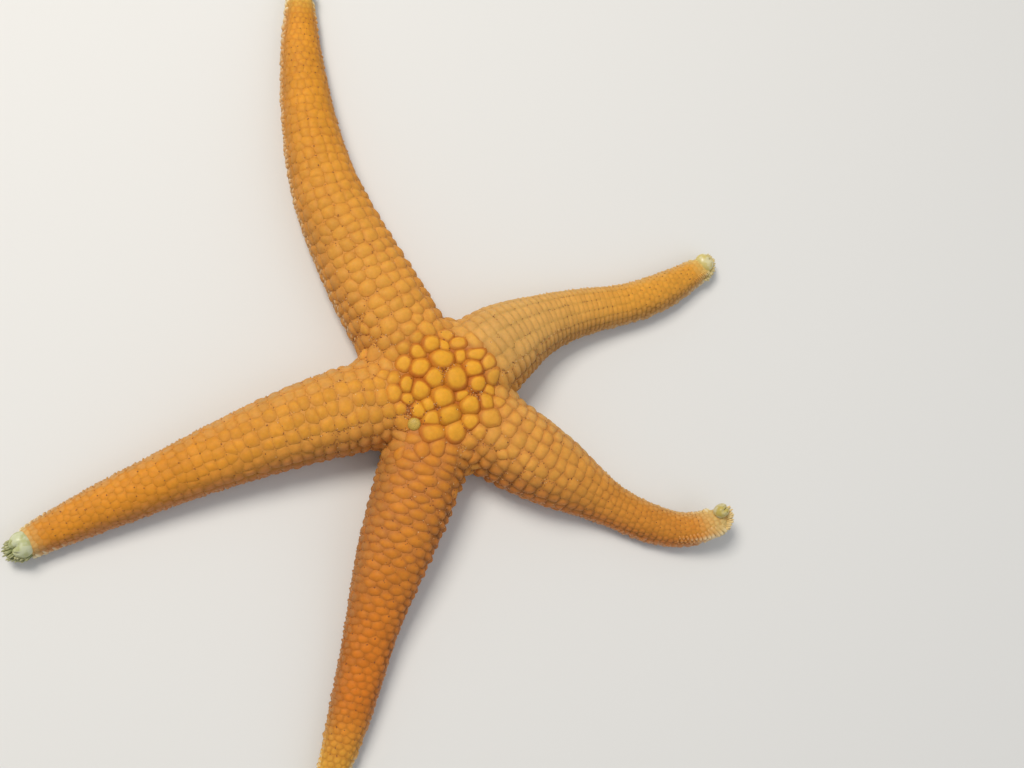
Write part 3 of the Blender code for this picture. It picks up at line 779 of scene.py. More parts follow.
def rib(arm, side):
    """How far the extra relief of an arm's flank has risen here."""
    return arm.ribs[0 if side > 0 else 1] * float(smooth(*RIB_SIDES, abs(side)))


def ring_turn(arm, ring, spot):
    """How far a ring is turned round the arm, in rows."""
    grown = float(smooth(arm.stagger, arm.stagger + BRICK_BLEND, share_of(arm, spot)))
    return (BRICK_TURN if ring % 2 else -BRICK_TURN) * grown


def arm_sites(arm, surface):
    """Plates in rings and rows over an arm's back and flanks, out to its tip."""
    draw = random.Random(f"plates {arm.name}")
    edges = row_edges(arm)
    sites = []
    for ring, (middle, pitch) in enumerate(rings_of(arm)):
        around = ARC_LENGTH * float(width_at(arm, middle))
        stray = STRAY * arm.disorder * pitch
        outward = smooth(*SHAPE_TURNS, share_of(arm, middle))
        overlap, corner = [mixed(*ends, outward) for ends in (arm.overlaps, arm.corners)]
        relief = full_rise(float(along(arm.reliefs, share_of(arm, middle))), overlap, "arm")
        for start, end in zip(edges, edges[1:]):
            spot = middle + draw.uniform(-stray, stray)
            arc = (start + end) / 2 + ring_turn(arm, ring, middle) * (end - start)
            arc += 2 * draw.uniform(-stray, stray) / around
            turn = turn_of(arc)
            place, normal, away = surface.settle(Vector(on_arm(arm, spot, turn, -SKIN_DEPTH)))
            if away > 1 * MM:
                continue
            ahead = Vector(on_arm(arm, spot + MM, turn) - on_arm(arm, spot, turn))
            grown = draw.uniform(1 - arm.disorder, 1 + arm.disorder)
            half_length, half_width = pitch / 2 * grown, (end - start) / 4 * around * grown
            swell = 1 + EDGE_SWELL * math.exp(-(((abs(arc) - EDGE_ROW) / EDGE_ROW_WIDTH) ** 2))
            swell += rib(arm, arc)
            rise = relief * math.sqrt(half_length * half_width) * draw.uniform(*UNEVEN) * swell
            share = float(share_of(arm, spot))
            sites.append(Site(
                place, normal, tangent(ahead, normal), half_length, half_width, rise, arm.name, overlap,
                corner, draw.random(), (share, (arc + 1) / 2, arm.reach * MM, around),
                merge=arm.merge + RIB_MERGE * rib(arm, arc), tilt=arm.tilt, share=share, side=arc,
            ))
    return sites


def plan_patch(place):
    across, up = (place - DISC_CENTRE).xy / DISC_MAP
    return (0.5 + across, 0.5 + up, DISC_MAP, DISC_MAP)


def disc_sites(surface):
    """The disc's own plates, large and domed in its middle and lower towards its edge."""
    draw = random.Random("disc plates")
    sites = []
    for across, up, length, width in DISC_PLATES:
        place, normal = surface.top(DISC_CENTRE + Vector((across, up, 0)) * MM)
        out = math.hypot(across, up)
        length, width = length / 2 * DISC_PLATE_SCALE * MM, width / 2 * DISC_PLATE_SCALE * MM
        relief = DISC_RELIEF * math.sqrt(length * width) * min(1, DISC_LOWERING / (out + 1))
        rise = full_rise(relief, DISC_OVERLAP, "disc")
        sites.append(Site(place, normal, tangent(Vector((1, 0, 0)), normal), length, width, rise, "disc",
                          DISC_OVERLAP, DISC_CORNER, draw.random(), plan_patch(place)))
    return sites


class Taken:
    """The places and sizes of the plates so far, as one growing table."""

    def __init__(self, sites):
        self.table = np.zeros((MOST_PLATES, 4))
        self.count = 0
        for site in sites:
            self.take(site.place, site.size)

    def take(self, place, size):
        self.table[self.count] = (*place, size)
        self.count += 1

    def crowds(self, place, size, spacing):
        """Whether a plate of this size would press into any of these."""
        near = self.table[: self.count]
        away = ((near[:, :3] - np.array(place)) ** 2).sum(1)
        return bool((away < (spacing * (size + near[:, 3])) ** 2).any())


def fill_sites(surface, where, taken, owner, rise):
    """Small plates dropped wherever they still fit near the disc's centre."""
    draw = random.Random(f"small plates {owner}")
    numbers = [int(number) for number in np.flatnonzero(where & (surface.out < FILL_REACH))]
    draw.shuffle(numbers)
    made = []
    for millimetres in FILL_SIZES:
        size = millimetres * MM
        for number in numbers:
            point = surface.points[number]
            if taken.crowds(point, size, FILL_SPACING):
                continue
            place, normal = Vector(point), Vector(surface.normals[number])
            forward = tangent(place - DISC_CENTRE, normal)
            made.append(Site(place, normal, forward, size, size, rise * size, owner, DISC_OVERLAP,
                             DISC_CORNER, draw.random(), plan_patch(place)))
            taken.take(place, size)
    return made


def all_sites(surface):
    """The disc's plates, each arm's where they don't press on those, and small ones between."""
    sites = disc_sites(surface)
    taken, disc_only = Taken(sites), Taken(sites)
    for table in (taken, disc_only):
        table.take(surface.top(DISC_CENTRE + SIEVE_PLACE)[0], SIEVE_RADIUS)
    for arm in ARMS:
        for site in arm_sites(arm, surface):
            place, size = site.place, site.size
            if (place - DISC_CENTRE).xy.length < FILL_REACH:
                here = np.array(place.xy)
                if min(ARMS, key=lambda other: away_from(other, here)) is not arm:
                    continue
                if disc_only.crowds(place, size, DISC_SPACING):
                    continue
                if place.z > BACK_FROM and taken.crowds(place, size, ROW_SPACING):
                    continue
            sites.append(site)
            taken.take(place, size)
    top = (surface.points[:, 2] > 2 * MM) & (surface.normals[:, 2] > -0.3)
    return sites + fill_sites(surface, top, taken, "disc", full_rise(FILL_RELIEF, DISC_OVERLAP, "disc"))


def sole_row(arm, surface, half_side, row):
    """One row of flat plates beside a furrow."""
    share_across, half_width, pitch = row
    low_by, reach_up = SOLE_PROBE
    draw = random.Random(f"sole {arm.name} {half_side} {share_across}")
    spot = SOLE_START
    sites = []
    while spot < ROWS_END * arm.reach * MM:
        width = float(width_at(arm, spot))
        across = half_side * share_across * width / 2
        low = one_placed(arm, spot, across, low_by)
        hit = surface.tree.ray_cast(low, Vector((0, 0, 1)))[0]
        step = pitch * (0.4 + 0.6 * width / (22 * MM))
        if hit and hit.z < low.z + reach_up:
            place, normal, _ = surface.settle(hit)
            ahead = Vector(placed(arm, spot + MM, across, 0.0) - placed(arm, spot, across, 0.0))
            patch = (float(share_of(arm, spot)), 0.5 + half_side * share_across / 2, arm.reach * MM, width)
            sites.append(Site(place, normal, tangent(ahead, normal), step / 2, half_width * width / 2,
                              SOLE_PLATE_RISE, "sole", SOLE_OVERLAP, SOLE_CORNER, draw.random(), patch))
        spot += step
    return sites


def sole_sites(surface):
    """Two rows of flat plates on each side of every furrow, and small ones between the furrows."""
    sites = []
    for arm in ARMS:
        for half_side in (-1, 1):
            for row in SOLE_ROWS:
                sites += sole_row(arm, surface, half_side, row)
    under = (surface.points[:, 2] < 1.2 * MM) & (surface.normals[:, 2] < -0.8)
    return sites + fill_sites(surface, under, Taken(sites), "sole", SOLE_FILL_RISE)


# The plates' colours


def tints(*codes):
    return np.array([paint(code)[:3] for code in codes])


def arm_tint(arm, share, side):
    """An arm's colour by share of its reach and side; its flank colours are partly painted light and shade.
    """
    inner, outer, left, right, tip = tints(*PALETTES[arm.name][:5])
    tint = mixed(inner, outer, smooth(*OUTWARD_TINT, share))
    tint = mixed(tint, left, FLANK_MOST * smooth(*FLANK_TINT, side))
    tint = mixed(tint, right, FLANK_MOST * smooth(*FLANK_TINT, -side))
    return mixed(tint, tip, TIP_MOST * smooth(arm.pale_from, TIP_FULL, share))


def crease_tint(arm, share, side):
    """The colour of its creases, partly their redder skin and partly painted shade, with more painted shade
    low down where its plates stand up as ribs.
    """
    palette = PALETTES[arm.name]
    inner, outer, tip = tints(palette.crease, palette.outer_crease, palette.tip)
    # painted shade for the dark gaps between the ribs
    tint = mixed(inner, outer, smooth(*OUTWARD_CREASE, share)) * (1 - RIB_SHADE * min(rib(arm, side), 1))
    return mixed(tint, tip, TIP_CREASE_MOST * smooth(arm.pale_from, TIP_FULL, share))


def colours_of(site):
    """A plate's colour and its creases', blended from arm to arm over the disc."""
    if site.owner == "sole":
        return tints(SOLE_TINT, SOLE_CREASE)
    here = np.array(site.place.xy)
    weights, colours = [], []
    for arm in ARMS:
        at = (site.share, site.side) if site.owner == arm.name else (0, 0)
        weights.append((away_from(arm, here) + ARM_BLEND**2) ** -2)
        colours.append((arm_tint(arm, *at), crease_tint(arm, *at)))
    out = np.hypot(*(here - DISC_XY))
    both = np.average(colours, 0, weights)
    return mixed(both, tints(DISC_TINT, DISC_CREASE), smooth(*DISC_TINT_REACH, out))


def tint_skin(piece, sites):
    """Gives each point of the skin the colour of the creases round the plate nearest to it, which is partly
    painted shade.
    """
    tree = tree_of([site.place for site in sites])
    colours = np.array([(*colours_of(site)[1], 1) for site in sites])
    store(piece.data, "crease", colours[[tree.find(point)[1] for point in points_of(piece)]])


# The plates' shapes


def dome_faces(sides, rings):
    """One plate's faces: a fan round its middle, its rings, and a skirt into the skin."""
    faces = [(0, 1 + side, 1 + (side + 1) % sides) for side in range(sides)]
    for ring in range(len(rings)):
        start = 1 + ring * sides
        for side in range(sides):
            after = (side + 1) % sides
            faces.append((start + side, start + sides + side, start + sides + after, start + after))
    return faces


def rim_reaches(site, near, sides):
    """Directions round a plate, and how far it is each way to the line between it and the next.

    On an arm the lines turn partly with the plate's own proportions, so that broad plates stay broad."""
    left = site.normal.cross(site.forward)
    long, wide = (1, 1) if site.owner == "disc" else (site.length**0.5, site.width**0.5)
    pulls = []
    for other in near:
        gap = other.place - site.place
        if gap.length < MERGED or other.normal.dot(site.normal) < 0.1:
            continue
        x, y = gap.dot(site.forward), gap.dot(left)
        squares = (x / long) ** 2 + (y / wide) ** 2
        direction = gap.normalized()
        own, others = site.reach(direction), other.reach(direction)
        part = max(own / (own + others), 0.3 * own / gap.length)
        pulls.append((x / long**2 / squares / part, y / wide**2 / squares / part))
    for x, y, lone in ((1, 0, site.length), (-1, 0, site.length), (0, 1, site.width), (0, -1, site.width)):
        pulls.append((x / (LONE_REACH * lone), y / (LONE_REACH * lone)))
    pulls = np.array(pulls)

    def reach_at(angles):
        push = np.outer(np.cos(angles), pulls[:, 0]) + np.outer(np.sin(angles), pulls[:, 1])
        return (np.maximum(push, 0) ** site.corner).sum(1) ** (-1 / site.corner)

    ends = reach_at(np.array((0, np.pi / 2)))
    around = (np.arange(sides) + 0.5) * 2 * np.pi / sides
    angles = np.arctan2(ends[1] * np.sin(around), ends[0] * np.cos(around))
    return left, angles, reach_at(angles)


def plate_points(site, near, surface, sides, rings):
    """One plate's corners and their baking patch: a low dome that follows the skin under it."""
    left, angles, reaches = rim_reaches(site, near, sides)
    reaches = reaches * site.overlap * (1 + site.merge * np.sin(angles) ** 2)
    shoulder = SHOULDERS.get(site.owner, SHOULDERS["arm"])
    offsets = np.stack([np.cos(angles) * reaches, np.sin(angles) * reaches], 1)
    points = [surface.under(site.place, site.normal) + site.normal * site.rise]
    for ring in rings:
        heights = site.rise * (1 - ring**2) ** shoulder * (1 + site.tilt * ring * np.cos(angles))
        feet = [
            surface.under(site.place + (site.forward * x + left * y) * ring, site.normal) for x, y in offsets
        ]
        points += [foot + site.normal * height for foot, height in zip(feet, heights.tolist())]
    points += [foot - site.normal * SKIRT for foot in feet]
    flat = np.vstack([np.zeros((1, 2))] + [offsets * ring for ring in rings] + [offsets])
    return points, np.array(site.patch[:2]) + flat / np.array(site.patch[2:])


def plates(surface, sites, finishes):
    """Every plate, as one joined mesh for each arm's back, one for the disc and one for the sole.

    Returns each mesh as a tree that can be asked for a hit."""
    tree = tree_of([site.place for site in sites])
    covers = {}
    for owner in sorted({site.owner for site in sites}):
        sides, rings = DOMES.get(owner, DOMES["arm"])
        own = [(number, site) for number, site in enumerate(sites) if site.owner == owner]
        made = []
        for number, site in own:
            found = tree.find_range(site.place, NEAR_SIZES * max(site.length, site.width) + NEAR_MORE)
            near = [sites[index] for _, index, _ in found if index != number]
            made.append(plate_points(site, near, surface, sides, rings))
        points, patches = zip(*made)
        rims = np.array([0] + [ring for ring in rings for _ in range(sides)] + [1] * sides)
        colours = np.array([[(*colour, 1) for colour in colours_of(site)] for _, site in own])
        values = {
            "tone": np.array([[site.tone] for _, site in own]),
            "rim": rims * np.array([[site.overlap] for _, site in own]),
            "tint": colours[:, :1],
            "crease": colours[:, 1:],
        }
        slot = "disc_plates" if owner == "disc" else "arm_plates"
        piece = joined(f"{owner}_plates", np.array(points), dome_faces(sides, rings), values,
                       np.array(patches), finishes[slot])
        covers[owner] = BVHTree.FromObject(piece, bpy.context.evaluated_depsgraph_get())
    return covers


def on_plates(cover, place, normal):
    """The plates' outer face over or under this place."""
    return cover.ray_cast(place + normal * PROBE * MM, -normal, 3 * MM)[0] or place


# Small things, each modelled once and set out in rows


def arm_patch(number, share, across):
    """A place on the map where the five arms lie one above another."""
    return (0.02 + 0.96 * share, (number + 0.5 + 0.45 * across) / len(ARMS))


def edge_scales(surface, finish):
    """Flat scales side by side along both edges of every arm, leaning to its tip and longer there."""
    copies = []
    for number, arm in enumerate(ARMS):
        draw = random.Random(f"scales {arm.name}")
        rows = [(*edge, *tier) for edge in zip((1, -1), arm.fringe, arm.pale) for tier in SCALE_TIERS]
        for side, fringe, pale, arc, grown, lean in rows:
            spot = SCALES_START
            while spot < SCALES_END * arm.reach * MM:
                share = float(share_of(arm, spot))
                place, normal, away, ahead, down = surface.flank(
                    arm, spot, side * (arc + draw.uniform(-0.02, 0.02))
                )
                length = float(along(SCALE_LENGTHS, share)) * grown * fringe * draw.uniform(0.6, 1.25) * MM
                out = draw.uniform(0.3, 0.7) * down + (lean + 0.2 * share) * normal
                out += draw.uniform(0.6, 1) * ahead
                if away < MM:
                    ends = pale * draw.uniform(0.5, 1)
                    ends += (1 - ends) * float(smooth(*ALL_PALE, share))
                    size = (draw.uniform(*SCALE_BREADTHS) * SCALE_STEP, SCALE_THICKNESS, length)
                    copies.append(Copy(place, out, ahead, size, arm_patch(number, share, side * arc),
                                       draw.random(), ends, arm_tint(arm, share, side * 0.5)))
                spot += draw.uniform(0.75, 1.25) * SCALE_STEP
    return set_out("edge_scales", turned(8, SCALE), copies, finish)


def furrow_spines(finish):
    """Small spines leaning in over each furrow from the plates beside it."""
    copies = []
    for number, arm in enumerate(ARMS):
        draw = random.Random(f"furrow {arm.name}")
        for side in (-1, 1):
            spot = SOLE_START
            while spot < SPINES_END * arm.reach * MM:
                width = float(width_at(arm, spot))
                edge = side * (FURROW_EDGE + SPINE_INSET) * width / 2
                place = one_placed(arm, spot, edge, SPINE_HEIGHT)
                inner = one_placed(arm, spot, 0.0, SPINE_HEIGHT)
                ahead = one_placed(arm, spot + MM, edge, SPINE_HEIGHT) - place
                out = (inner - place).normalized() + Vector((0, 0, draw.uniform(-0.25, 0.1)))
                length = min(SPINE_OF_WIDTH * width, SPINE_LONGEST) * draw.uniform(0.85, 1.1)
                patch = arm_patch(number, float(share_of(arm, spot)), side * 0.3)
                copies.append(Copy(place, out, ahead, (*SPINE_SIZE, length), patch, draw.random(), 1))
                spot += SPINE_STEP
    return set_out("furrow_spines", turned(6, FURROW_SPINE), copies, finish)


def tube_feet(finish):
    """Two rows of feet in each furrow, down to their suckers on the floor."""
    copies = []
    for number, arm in enumerate(ARMS):
        draw = random.Random(f"feet {arm.name}")
        for side in (-1, 1):
            spot = SOLE_START + (FOOT_STAGGER if side > 0 else 0)
            while spot < FEET_END * arm.reach * MM:
                width = float(width_at(arm, spot))
                across = side * FOOT_ACROSS * width / 2
                foot = one_placed(arm, spot, across, FOOT_LIFT)
                foot += Vector((draw.uniform(-0.2, 0.2), draw.uniform(-0.2, 0.2), 0)) * MM
                roof = FOOT_ROOF * FURROW_DEPTH * HEIGHT_OF_WIDTH * width
                upward = one_placed(arm, spot, across * FOOT_LEAN, roof) - foot
                radius = SUCKER_RADIUS * width * draw.uniform(0.85, 1.1)
                patch = arm_patch(number, float(share_of(arm, spot)), side * 0.1)
                size = (radius, radius, upward.length)
                copies.append(Copy(foot, upward, Vector((1, 0, 0)), size, patch, draw.random()))
                spot += max(2.3 * radius, FOOT_STEP)
    return set_out("tube_feet", turned(10, TUBE_FOOT), copies, finish)


def bead(place, normal, radius, patch, tone):
    return Copy(place, normal, Vector((1, 0, 0.1)), (radius, radius, radius), patch, tone)


def pores(surface, covers, finish):
    """Dark pores in the skin where plates meet, alone or a few together."""
    copies = []
    for number, arm in enumerate(ARMS):
        draw = random.Random(f"pores {arm.name}")
        edges = row_edges(arm)
        for ring, (middle, pitch) in enumerate(rings_of(arm)):
            if not PORES_START <= middle <= PORES_END * arm.reach * MM:
                continue
            turned_by = ring_turn(arm, ring, middle)
            for start, end in zip(edges[2:-3], edges[3:-2]):
                if draw.random() < PORELESS:
                    continue
                arc = end + turned_by * (end - start)
                for _ in range(draw.choice((1, 1, 1, 2, 3))):
                    spot = middle + pitch / 2 + draw.uniform(-0.2, 0.2) * MM
                    turn = turn_of(arc + draw.uniform(-0.012, 0.012))
                    place, normal, away = surface.settle(Vector(on_arm(arm, spot, turn, -SKIN_DEPTH)))
                    place = on_plates(covers[arm.name], place, normal)
                    radius = draw.uniform(*PORE_RADII) * MM
                    if away < MM:
                        patch = arm_patch(number, float(share_of(arm, spot)), arc)
                        copies.append(bead(place, normal, radius, patch, 0.4 * draw.random()))
    return set_out("pores", turned(7, BEAD), copies, finish)


def specks(surface, sites, covers, finish):
    """Clusters of tiny skin gills, brown and pale, in the creases of the disc and the arms' bases."""
    draw = random.Random("specks")
    tree = tree_of([site.place for site in sites])
    spots = np.array(SPECK_SPOTS) * MM + DISC_XY
    inner = (surface.out < SPECK_REACH) & (surface.normals[:, 2] > 0) & (surface.points[:, 2] > BACK_FROM)
    copies = []
    for number in np.flatnonzero(inner):
        place, normal = Vector(surface.points[number]), Vector(surface.normals[number])
        _, nearest, away = tree.find(place)
        site = sites[nearest]
        spread = np.linalg.norm(spots - surface.points[number, :2], axis=1).min() / CLUSTER_RADIUS
        flank = smooth(0.05, 0.5, -normal.y) * smooth(SPECK_REACH, SPECK_REACH / 2, surface.out[number])
        cluster = math.exp(-(spread**2))
        crowd = 0.06 + cluster + 0.7 * float(flank)
        if away < CREASE_SHARE * site.size or draw.random() > crowd:
            continue
        for _ in range(1 + int(3 * draw.random() + 4 * cluster)):
            radius = draw.uniform(*SPECK_RADII) * MM
            aside = Vector((draw.uniform(-1, 1), draw.uniform(-1, 1), 0)) * 0.3 * MM
            root = on_plates(covers[site.owner], place + aside, normal)
            copies.append(bead(root, normal, radius, plan_patch(root)[:2], draw.random()))
    return set_out("specks", turned(6, BEAD), copies, finish)


# The tips


def tip_frame(arm, share, height):
    """A place in an arm's middle plane, its directions ahead and left, and the width near the tip."""
    width = float(along(arm.widths, TIP_WIDTH_SHARE)) * MM
    spot, up = share * arm.reach * MM, height * width
    middle = one_placed(arm, spot, 0.0, up)
    ahead = one_placed(arm, spot + MM, 0.0, up) - middle
    left = one_placed(arm, spot, MM, up) - middle
    return middle, ahead.normalized(), left.normalized(), width


def end_caps(finish):
    """The smooth swollen plate that closes each arm's tip, cleft and finely slit at its front."""
    for arm in ARMS:
        half_width, aside, cleft, height = arm.cap
        middle, ahead, left, width = tip_frame(arm, arm.cap_share, height)
        segments, rings = CAP_MESH
        cap = added(bpy.ops.mesh.primitive_uv_sphere_add, segments=segments, ring_count=rings, radius=1)
        points = points_of(cap)
        across, up, out = points.T
        split = 1 - cleft * np.exp(-((across / 0.2) ** 2)) * smooth(-0.4, 0.8, out)
        slits = np.exp(-((np.sin(CAP_SLITS * np.arctan2(across, up)) / 0.35) ** 2)) * smooth(0.35, 0.7, out)
        half = np.array(CAP_HALVES) * width * np.array((half_width, 1, (1 + half_width) / 2))
        axes = np.array((left, ahead.cross(left), ahead))
        middle += left * aside * width
        cut = (split * (1 - SLIT_DEPTH * slits))[:, None]
        set_points(cap, points * cut * half @ axes + np.array(middle))
        store(cap.data, "slit", slits)
        store(cap.data, "tint", np.tile(paint(PALETTES[arm.name].cap), len(points)))
        cap.data.shade_smooth()
        settled(cap, f"{arm.name}_end_plate", finish)


def tip_fingers(surface, finish):
    """Pale flat fingers round the front of each end plate, and along the right flank of two tips."""
    copies = []
    for number, arm in enumerate(ARMS):
        draw = random.Random(f"fan {arm.name}")
        splay, facing, spread = arm.fan
        comb_start, breadth = arm.comb

        def finger(root, lean, wide, shape, grown, pale, tint, patch):
            across, through, long = shape
            size = (across * draw.uniform(0.8, 1.1), through, long * grown * draw.uniform(0.75, 1.15))
            paler = pale * draw.uniform(0.6, 1.2)
            copies.append(Copy(root, lean, wide, size, arm_patch(number, *patch), draw.random(),
                               paler, tint))

        for tier, (height, grown, climb) in enumerate(FAN_TIERS):
            middle, ahead, left, width = tip_frame(arm, FAN_SHARE, height)
            upward = ahead.cross(left)
            for place in range(FAN_FINGERS):
                turn = 2 * (place + 0.5 * (tier % 2)) / (FAN_FINGERS - 0.5) - 1
                angle = math.radians(facing + spread * turn + draw.uniform(-3, 3))
                out = left * math.sin(angle) + ahead * math.cos(angle)
                root = surface.tree.ray_cast(middle + out * width, -out)[0]
                lean = ahead + splay * out + upward * (climb + draw.uniform(-0.12, 0.12))
                finger(root, lean, upward.cross(out), FAN_FINGER, grown, FAN_PALE,
                       tints(PALETTES[arm.name].finger)[0], (0.96 + 0.01 * tier, turn))
        for arc in COMB_TIERS:
            spot = (comb_start + draw.uniform(0, 0.01)) * arm.reach * MM
            while spot < COMB_END * arm.reach * MM:
                place, normal, _, ahead, down = surface.flank(arm, spot, -arc)
                share = spot / (arm.reach * MM)
                grown = 0.3 + 0.8 * float(smooth(comb_start, comb_start + 0.11, share))
                lean = down + draw.uniform(0.2, 0.4) * normal + draw.uniform(0.15, 0.4) * ahead
                shape = (COMB_FINGER[0] * breadth * min(grown + 0.2, 1), *COMB_FINGER[1:])
                finger(place, lean, ahead, shape, grown, 0.7 * grown, arm_tint(arm, share, -0.15),
                       (share, -arc))
                spot += COMB_STEP * min(breadth, 1)
    return set_out("tip_fingers", turned(8, SCALE), copies, finish)


# The sieve plate, the mouth and the jaws


def sieve(surface, finish):
    """The madreporite: a low round dome with fine grooves wandering out from its middle."""
    place, normal = surface.top(DISC_CENTRE + SIEVE_PLACE)
    size = (SIEVE_RADIUS, SIEVE_RADIUS, 1.2 * SIEVE_RADIUS)
    copy = Copy(place, normal, Vector((1, 0, 0)), size, (0.5, 0.5), 0.5)
    piece = set_out("sieve_plate", turned(64, SIEVE_DOME), [copy], finish)
    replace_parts(piece, "madreporite")


def mouth(finish):
    """The wrinkled skin round the mouth, dished up to a small hole."""
    piece = added(bpy.ops.mesh.primitive_circle_add, vertices=60, radius=MOUTH_RADIUS,
                  location=DISC_CENTRE + Vector((0, 0, MOUTH_LIFT)))
    bpy.ops.object.transform_apply()
    edit_all()
    for up, shrink in MOUTH_STEPS:
        bpy.ops.mesh.extrude_edges_move(TRANSFORM_OT_translate={"value": (0, 0, up * MM)})
        bpy.ops.transform.resize(value=(shrink, shrink, 1))
    bpy.ops.object.mode_set(mode="OBJECT")
    points = points_of(piece)
    across, up, _ = (points - np.array(DISC_CENTRE)).T
    inward = np.clip(1 - np.hypot(across, up) / MOUTH_RADIUS, 0, 1)
    points[:, 2] += FOLD_HEIGHT * np.cos(MOUTH_FOLDS * np.arctan2(up, across)) * inward
    set_points(piece, points)
    apply(piece, "SOLIDIFY", thickness=MOUTH_SKIN, offset=1)
    edit_all()
    turn_outwards()
    piece.data.shade_smooth()
    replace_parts(settled(piece, "mouth_skin", finish), "mouth")
    return piece


def jaws(finish):
    """Five pairs of plates round the mouth, each with spines leaning in over it."""
    copies = []
    draw = random.Random("jaws")
    for number, (heading, _) in enumerate(WEBS):
        for side in (-1, 1):
            angle = math.radians(heading + JAW_TURN * side)
            out = Vector((math.cos(angle), math.sin(angle), 0))
            root = DISC_CENTRE + out * JAW_OUT * MM + Vector((0, 0, JAW_UP * MM))
            across = Vector((-out.y, out.x, 0))
            patch = np.array((0.1 + 0.15 * number, 0.3 + 0.2 * side))
            copies.append(Copy(root, -out, across, JAW_SIZE, patch, draw.random(), 0.4))
            for finger in range(JAW_SPINES):
                spread = (finger - 2) / 2
                forward = 0.8 + 1.9 * (1 - abs(spread) * JAW_SPREAD)
                start = root - out * forward * MM + across * JAW_SPREAD * spread * MM
                lean = -out + across * JAW_SPREAD * spread + Vector((0, 0, draw.uniform(-0.1, 0.2)))
                copies.append(Copy(start, lean, across, JAW_SPINE_SIZE, patch + (0, 0.02 + 0.02 * finger),
                                   draw.random(), 1))
    return set_out("jaws", turned(10, FLAT_SPINE), copies, finish)


# Finishes

EASED = {"interpolation_type": "SMOOTHSTEP"}


def add(tree, kind, inputs=None, output=0, to=None, **settings):
    """Adds a node with its settings, and gives one output, linked on to a socket if one is named.

    Its inputs are sockets to link, hex colours or plain values."""
    made = tree.nodes.new("ShaderNode" + kind)
    for name, value in settings.items():
        setattr(made, name, value)
    for name, value in (inputs or {}).items():
        if isinstance(value, bpy.types.NodeSocket):
            tree.links.new(value, made.inputs[name])
        else:
            made.inputs[name].default_value = paint(value) if isinstance(value, str) else value
    if to is not None:
        tree.links.new(made.outputs[output], to)
    return made.outputs[output]


def new_finish(name, roughness, more=None):
    """A material with its tree and shader. More are other constants of its shader, by their sockets."""
    finish = bpy.data.materials.new(name)
    finish.use_nodes = True
    shader = finish.node_tree.nodes["Principled BSDF"]
    for socket, value in {"Roughness": roughness, "IOR": 1.45, **(more or {})}.items():
        shader.inputs[socket].default_value = value
    return finish, finish.node_tree, shader


def translucent(weight, radius, millimetres):
    """The shader's constants where light sinks in and spreads below the surface."""
    return {"Subsurface Weight": weight, "Subsurface Radius": radius, "Subsurface Scale": millimetres * MM}


def laid_over(tree, value, low, high, under, over, most=1.0, to=None):
    """One colour, with another laid over it as a value goes from low to high."""
    limits = {"Value": value, "From Min": low, "From Max": high, "To Max": most}
    share = add(tree, "MapRange", limits, **EASED)
    return add(tree, "Mix", {0: share, 6: under, 7: over}, 2, to, data_type="RGBA")


def plate_finish(name, crease_from):
    """Calcite plates under a thin live skin: satin, finely granular, redder in their creases and darker
    there with painted shade.
    """
    softness = {"Specular IOR Level": 0.2, **translucent(0.12, (1.0, 0.45, 0.15), 0.8)}
    finish, tree, shader = new_finish(name, 0.58, softness)
    place = add(tree, "TexCoord", output="Object")
    rim, tone = [add(tree, "Attribute", output="Fac", attribute_name=kept) for kept in ("rim", "tone")]
    tint, crease = [
        add(tree, "Attribute", output="Color", attribute_name=kept) for kept in ("tint", "crease")
    ]
    broad, patchy, fine = [
        add(tree, "TexNoise", {"Vector": place, "Scale": 1 / (grain * MM), "Detail": detail}, "Fac")
        for grain, detail in ((9, 3.0), (5, 2.0), (1, 4.0))
    ]
    # towards the rim the plate takes its crease colour, partly redder skin and partly painted shade
    limits = {"Value": rim, "From Min": crease_from, "From Max": 1.02, "To Max": 0.95}
    depth = add(tree, "MapRange", limits, **EASED)
    limits = {"Value": patchy, "From Min": 0.35, "From Max": 0.65, "To Min": 0.5}
    depth = add(tree, "Math", {0: depth, 1: add(tree, "MapRange", limits, **EASED)}, operation="MULTIPLY")
    body = add(tree, "Mix", {0: depth, 6: tint, 7: crease}, 2, data_type="RGBA")
    for value, low, high in ((broad, 0.92, 1.07), (tone, 0.965, 1.035), (fine, 0.92, 1.07)):
        limits = {"Value": value, "From Min": 0.2, "From Max": 0.8, "To Min": low, "To Max": high}
        shades = {0: 1.0, 6: body, 7: add(tree, "MapRange", limits, **EASED)}
        body = add(tree, "Mix", shades, 2, data_type="RGBA", blend_type="MULTIPLY")
    tree.links.new(body, shader.inputs["Base Color"])
    granules = add(tree, "TexVoronoi", {"Vector": place, "Scale": 1 / (0.32 * MM)}, "Distance")
    bumps = {"Height": granules, "Strength": 0.12, "Distance": 0.05 * MM}
    add(tree, "Bump", bumps, to=shader.inputs["Normal"])
    return finish


def skin_finish():
    """Soft skin between the plates: matt, a darker orange than they are, partly by painted shade, with brown
    specks.
    """
    finish, tree, shader = new_finish("starfish skin", 0.62, {"Specular IOR Level": 0.3})
    place = add(tree, "TexCoord", output="Object")
    crease = add(tree, "Attribute", output="Color", attribute_name="crease")
    specks = add(tree, "TexVoronoi", {"Vector": place, "Scale": 1 / (0.7 * MM)}, "Distance")
    laid_over(tree, specks, 0.3, 0.1, crease, "7A4A26", 0.5, shader.inputs["Base Color"])
    bumps = {"Height": specks, "Strength": 0.3, "Distance": 0.1 * MM}
    add(tree, "Bump", bumps, to=shader.inputs["Normal"])
    return finish


def floor_finish():
    """Plain pale card, matt."""
    return new_finish("pale studio floor", 0.9, {"Base Color": paint("DCDCDA")})[0]


